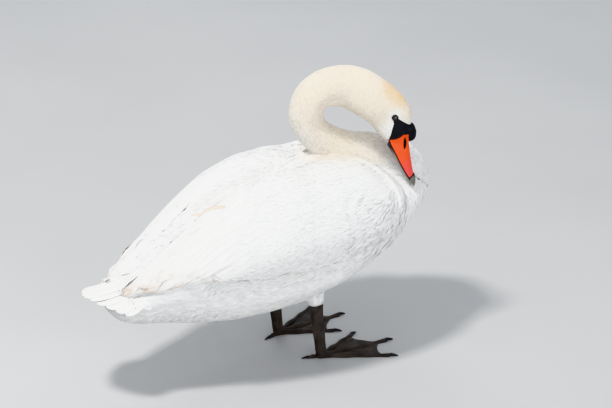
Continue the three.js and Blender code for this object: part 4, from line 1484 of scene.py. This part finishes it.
def rectrix(pair, side):
    """Rings and tip of one tail feather, bent over the tail's droop; pair 0 is the middle one."""
    u = np.array(VANE_T)
    pairs = len(RECTRICES["tip_x"])
    root_x, root_spread = RECTRICES["root"]
    root_y = root_spread * pair / pairs
    x = root_x + (RECTRICES["tip_x"][pair] - root_x) * u
    y = side * (root_y + (RECTRICES["tip_y"][pair] - root_y) * u)
    place = np.interp(-x, -np.array(TAIL["x"], float), np.arange(len(TAIL["x"])))
    level, thick, droop = (through(TAIL[key], place) for key in ("level", "thick", "droop"))
    widest = max(TAIL["width"])
    order = 0.5 - (pair + 0.5 * (side > 0)) / pairs
    z = level - droop * np.minimum(np.abs(y) / widest, 1) ** 2 + thick * order * 0.45
    centre = np.stack([x, y, z + RECTRICES["rise"][pair] * u**2], -1)
    heading = unit(np.gradient(centre, axis=0))
    roll = -2 * droop * y / widest**2
    up = unit(np.cross(heading, unit(np.stack([0 * x, 1 + 0 * x, roll], -1))))
    up *= np.sign(up[:, 2:])
    across = np.cross(up, heading)
    half = 0.5 * RECTRICES["width"][pair] * np.array(TAIL_SHAPE)
    offset = SHAFTED[:, 0] * half[:, None]
    over = SHAFTED[:, 1] * 0.5 - 0.05 * np.abs(offset) - 0.3
    rings = centre[:-1, None] + across[:-1, None] * offset[..., None]
    rings = rings + up[:-1, None] * over[..., None]
    return rings[None], centre[-1:]


class SWAN_OT_fine_coat(bpy.types.Operator):
    """Lays the fine soft tips that show over the larger feathers, and the ragged and woolly places"""

    bl_idname = "swan.fine_coat"
    bl_label = "Fine plumage"

    def execute(self, context):
        ground = skin_ground()
        scale = context.scene.swan_sizes.feather_scale
        plumage = material("plumage", plumage_finish)
        for name, side in (("right", -1), ("left", 1)):
            rng = np.random.default_rng(SEEDS["fine"] + side)
            coat = Coat()
            roots = scatter(ground, FINE_COUNT, lambda p: soft_share(p) * (p[:, 1] * side > 0), rng)
            size = scale * rng.uniform(13, 24, len(roots)) * (1 - 0.4 * neck_share(roots)[0])
            lift = 0.9 + 0.8 * ease(110, 10, roots[:, 0]) * ease(228, 240, roots[:, 2])
            coat.lay(ground, roots, size, 0.17 * size, 0.03 * size, rng, stray=0.05, thick=0.22,
                     sway=0.16, stations=(0, 0.6, 1), shape=(0.8, 1), lift=lift, droop=0.1)
            coat.build(f"fine_feathers_{name}", plumage)
        rng = np.random.default_rng(SEEDS["ragged"])
        coat = Coat()
        for region, count, span, wide, stray in RAGGED:
            roots = scatter(ground, count, lambda p: inside(p, *region), rng)
            size = scale * rng.uniform(*span, count)
            coat.lay(ground, roots, size, wide * size, 0.09 * size, rng, stray, thick=0.3, sway=0.4,
                     stations=(0, 0.4, 0.75, 1), shape=(0.7, 1, 0.7), lift=0.8, droop=0.1)
        coat.build("ragged_feathers", plumage)
        return {"FINISHED"}


def inside(points, low, high):
    """Which places lie in a box, on either side of the body."""
    p = points.copy()
    p[:, 1] = np.abs(p[:, 1])
    return np.all((p > low) & (p < high), axis=1).astype(float)


def soft_share(points):
    """How thickly the fine feathers grow: most on the breast and back, few on the long feathers."""
    neck = neck_share(points)[0] * ease(340, 370, points[:, 2])
    long_ones = ease(-130, -230, points[:, 0]) * ease(190, 225, points[:, 2])
    return (1 - neck) * (1 - 0.9 * long_ones) * (1 - 0.5 * ease(150, 120, points[:, 2]))


class SWAN_OT_bill(bpy.types.Operator):
    """Builds the bill, its nail and the knob at its root"""

    bl_idname = "swan.bill"
    bl_label = "Bill and knob"

    def execute(self, context):
        far = 9.0  # higher over the cutting edge than its black rim
        local, height, slot = upper_mandible()
        horn = material("bill_orange", orange_finish)
        upper = mesh_object("upper_mandible", *loft(head_place(local)), horn, sharp=50)
        point_values(upper, "edge", np.append(height.ravel(), [far, far]))
        point_values(upper, "slot", np.append(slot.ravel(), [0, 0]))
        finish_piece(upper, ["bill_upper"])
        local, _ = mandible("lower")
        lower = mesh_object("lower_mandible", *loft(head_place(local)), jaw_finish(), sharp=50)
        finish_piece(lower, ["bill_lower"])
        forms = merged("knob", [ball(*form) for form in KNOB_FORMS], KNOB_GRID, 36)
        knob = placed("knob", forms, horn)
        point_values(knob, "edge", np.full(len(knob.data.vertices), far))
        finish_piece(knob, ["bill_knob"])
        nail = mesh_object("bill_tip_nail", *loft(nail_shield()), nail_finish(), sharp=50)
        finish_piece(nail, ["bill_nail"])
        return {"FINISHED"}


def point_values(obj, name, values):
    """Keeps one value for each corner, for the finish to read."""
    layer = obj.data.attributes.new(name, "FLOAT", "POINT")
    layer.data.foreach_set("value", np.asarray(values, np.float32))


def ball(at, radii, segments=48, rings=32):
    """A ball in the head's frame, stretched along forward, over and left."""
    theta = np.linspace(0.02, math.pi - 0.02, rings)[:, None]
    cos, sin = circle(segments)
    local = np.stack([np.cos(theta) + 0 * cos, np.sin(theta) * sin, np.sin(theta) * cos], -1)
    return loft(head_place(np.asarray(at) + local * np.asarray(radii)))


def nail_shield():
    """Rings of the nail: a low shield over the bill's tip, hooked a little over its end."""
    t = np.linspace(0, 1, 30)[:, None]
    angle = np.linspace(0, math.pi, 30)[None]
    taper = np.sqrt(np.maximum(1 - t**2.6, 0.02))
    forward = NAIL["root"] + (NAIL["tip"] - NAIL["root"]) * t
    edge = 1.2 - 4.2 * t**1.6
    rise = edge + NAIL["height"] * (1 - 0.35 * t) * taper
    wide = NAIL["half"] * (0.72 + 0.4 * np.sin(2.6 * t)) * taper
    share = np.maximum(np.sin(angle), 0) ** 0.85
    local = np.stack([forward + 0 * angle, edge + (rise - edge) * share, wide * np.cos(angle)], -1)
    return head_place(local)


class SWAN_OT_eyes(bpy.types.Operator):
    """Builds the eyes and their lids"""

    bl_idname = "swan.eyes"
    bl_label = "Eyes and lids"

    def execute(self, context):
        glossy = eye_finish()
        lid_skin = black_finish("lid_skin", 0.5, 600.0)
        for name, side in (("right", -1), ("left", 1)):
            at = (*EYE["at"], side * EYE["side"])
            theta = np.linspace(0.03, math.pi - 0.03, 30)[:, None]
            cos, sin = circle(44)
            depth = side * np.cos(theta) + 0 * cos
            local = np.stack([np.sin(theta) * cos, np.sin(theta) * sin, depth], -1)
            globe = loft(head_place(np.asarray(at) + local * EYE["radius"]))
            eye = mesh_object(f"eyeball_{name}", *globe, glossy)
            point_values(eye, "outward", np.append((side * depth).ravel(), [1, -1]))
            finish_piece(eye, [f"eye_{name}"])
            finish_piece(mesh_object(f"eyelids_{name}", *lid_ring(side), lid_skin))
        return {"FINISHED"}


def lid_ring(side, sides=64):
    """The lids: a soft, slightly almond-shaped rim round the eye, sunk into the skin outside."""
    cos, sin = circle(sides)
    f, g = EYE["at"]
    rings = []
    for reach, height in LID_PROFILE:
        long = reach * (1.06 + 0.03 * cos) * cos
        tall = reach * 0.95 * sin
        rings.append(head_place(np.stack([f + long, g + tall, side * height + 0 * cos], -1)))
    rings = np.array(rings)
    a = np.arange(rings.shape[0] * sides).reshape(-1, sides)
    b = np.roll(a, -1, axis=1)
    down_a, down_b = np.roll(a, -1, axis=0), np.roll(b, -1, axis=0)
    faces = np.stack([a, b, down_b, down_a], -1).reshape(-1, 4)
    if side > 0:
        faces = faces[:, ::-1]
    return rings.reshape(-1, 3), faces.tolist()


class SWAN_OT_legs(bpy.types.Operator):
    """Builds the bare shanks, the webbed feet and the claws"""

    bl_idname = "swan.legs"
    bl_label = "Legs and feet"

    def execute(self, context):
        shank_skin = leg_finish("shank_skin", 210.0, 0.55)
        foot_skin = leg_finish("foot_skin", 260.0, 0.6)
        claw_horn = black_finish("claw_horn", 0.42, 420.0)
        for name, leg in LEGS.items():
            shank = mesh_object(f"leg_{name}", *loft(shank_rings(leg)), shank_skin)
            finish_piece(shank, [f"shank_{name}"])
            mirror = np.array([1, -1 if name == "left" else 1, 1])
            parts = [loft(stand(toe_rings(toe), leg, mirror)) for toe in TOES.values()]
            web_corners, web_faces = web_solid()
            if name == "left":
                web_faces = [f[::-1] for f in web_faces]
            parts.append((stand(web_corners, leg, mirror), web_faces))
            parts.append(loft(stand(joint_rings(), leg, mirror)))
            foot = mesh_object(f"webbed_foot_{name}", *joined(parts), foot_skin, sharp=50)
            finish_piece(foot, [f"foot_{name}"])
            for toe_name, toe in TOES.items():
                form = loft(stand(claw_rings(toe), leg, mirror))
                claw = mesh_object(f"toe_claw_{name}_{toe_name}", *form, claw_horn)
                finish_piece(claw, [f"claw_{name}_{toe_name}"])
        return {"FINISHED"}


def stand(points, leg, mirror):
    """Places of a foot at the origin, set where the leg stands and turned with it."""
    return spin(points * mirror, leg["turn"]) + np.array([leg["x"], leg["y"], 0])


def joint_rings(sides=24):
    """Rings of the rounded joint between the shank and the toes."""
    cos, sin = circle(sides)
    rows = [(0, 0, 9, 8), (0, 4, 10.4, 9), (0, FOOT["toe"], 11, 9.5), (-0.8, FOOT["toe"] + 3.7, 10, 8)]
    return np.array([np.stack([x + a * cos, b * sin, z + 0 * cos], -1) for x, z, a, b in rows])


class SWAN_OT_stage(bpy.types.Operator):
    """Sets the studio floor, the soft lights and the camera"""

    bl_idname = "swan.stage"
    bl_label = "Studio"

    def execute(self, context):
        scene = context.scene
        turn, height = math.radians(VIEW["turn"]), math.radians(VIEW["height"])
        right = Vector((math.cos(turn), -math.sin(turn), 0))
        away = Vector((math.sin(turn), math.cos(turn), 0))
        look = away * math.cos(height) - Vector((0, 0, math.sin(height)))
        target = Vector(to_row(VIEW["target"]))
        camera = bpy.data.cameras.new("camera")
        focal_pixels = VIEW["pixels_per_metre"] * VIEW["distance"] * MM
        camera.sensor_width = SENSOR
        camera.lens = focal_pixels / PICTURE_WIDTH * SENSOR
        camera.clip_end = 60
        eye = bpy.data.objects.new("camera", camera)
        eye.location = target - look * VIEW["distance"] * MM
        eye.rotation_euler = look.to_track_quat("-Z", "Y").to_euler()
        scene.collection.objects.link(eye)
        scene.camera = eye
        for name, kind in LAMPS.items():
            lamp = bpy.data.lights.new(name, "AREA")
            lamp.size = kind["size"]
            lamp.energy = kind["power"]
            lamp.color = kind["tone"]
            aside, beyond, up = kind["at"]
            place = right * aside + away * beyond + Vector((0, 0, up))
            holder = bpy.data.objects.new(name, lamp)
            holder.location = target + place
            holder.rotation_euler = (-place).to_track_quat("-Z", "Y").to_euler()
            scene.collection.objects.link(holder)
        half = scene.swan_sizes.floor_span / 2
        mesh = bpy.data.meshes.new("studio_floor")
        corners = [(-half, -half, 0), (half, -half, 0), (half, half, 0), (-half, half, 0)]
        mesh.from_pydata(corners, [], [(0, 1, 2, 3)])
        placed("studio_floor", mesh, floor_finish())
        world = bpy.data.worlds.new("studio")
        world.use_nodes = True
        sky = world.node_tree.nodes["Background"]
        sky.inputs["Color"].default_value = SKY["colour"]
        sky.inputs["Strength"].default_value = SKY["strength"]
        scene.world = world
        scene.view_settings.view_transform = "Khronos PBR Neutral"
        return {"FINISHED"}


class SWAN_PT_panel(bpy.types.Panel):
    """Lists the swan's sizes, colours and building steps"""

    bl_idname = "SWAN_PT_panel"
    bl_label = "Mute swan"
    bl_space_type = "VIEW_3D"
    bl_region_type = "UI"
    bl_category = "Swan"

    def draw(self, context):
        """Draws the settings and a button for each step."""
        for group in (context.scene.swan_sizes, context.scene.swan_colours):
            for key in group.__annotations__:
                self.layout.prop(group, key)
        for step in STEPS:
            self.layout.operator(step.bl_idname)


STEPS = (
    SWAN_OT_stage,
    SWAN_OT_skin,
    SWAN_OT_neck_coat,
    SWAN_OT_body_coat,
    SWAN_OT_wing_coat,
    SWAN_OT_flight,
    SWAN_OT_tail,
    SWAN_OT_fine_coat,
    SWAN_OT_bill,
    SWAN_OT_eyes,
    SWAN_OT_legs,
)
CLASSES = (SwanSizes, SwanColours, *STEPS, SWAN_PT_panel)


def register():
    """Makes the settings, the operators and the panel known."""
    for cls in CLASSES:
        bpy.utils.register_class(cls)
    bpy.types.Scene.swan_sizes = bpy.props.PointerProperty(type=SwanSizes)
    bpy.types.Scene.swan_colours = bpy.props.PointerProperty(type=SwanColours)


def unregister():
    """Takes the settings, the operators and the panel out again."""
    del bpy.types.Scene.swan_colours
    del bpy.types.Scene.swan_sizes
    for cls in reversed(CLASSES):
        bpy.utils.unregister_class(cls)


def main():
    """Builds the swan: the studio, the skin, the plumage, the bill, the eyes and the legs."""
    register()
    bpy.ops.swan.stage()
    bpy.ops.swan.skin()
    bpy.ops.swan.neck_coat()
    bpy.ops.swan.body_coat()
    bpy.ops.swan.wing_coat()
    bpy.ops.swan.flight()
    bpy.ops.swan.tail()
    bpy.ops.swan.fine_coat()
    bpy.ops.swan.bill()
    bpy.ops.swan.eyes()
    bpy.ops.swan.legs()


if __name__ == "__main__":
    main()
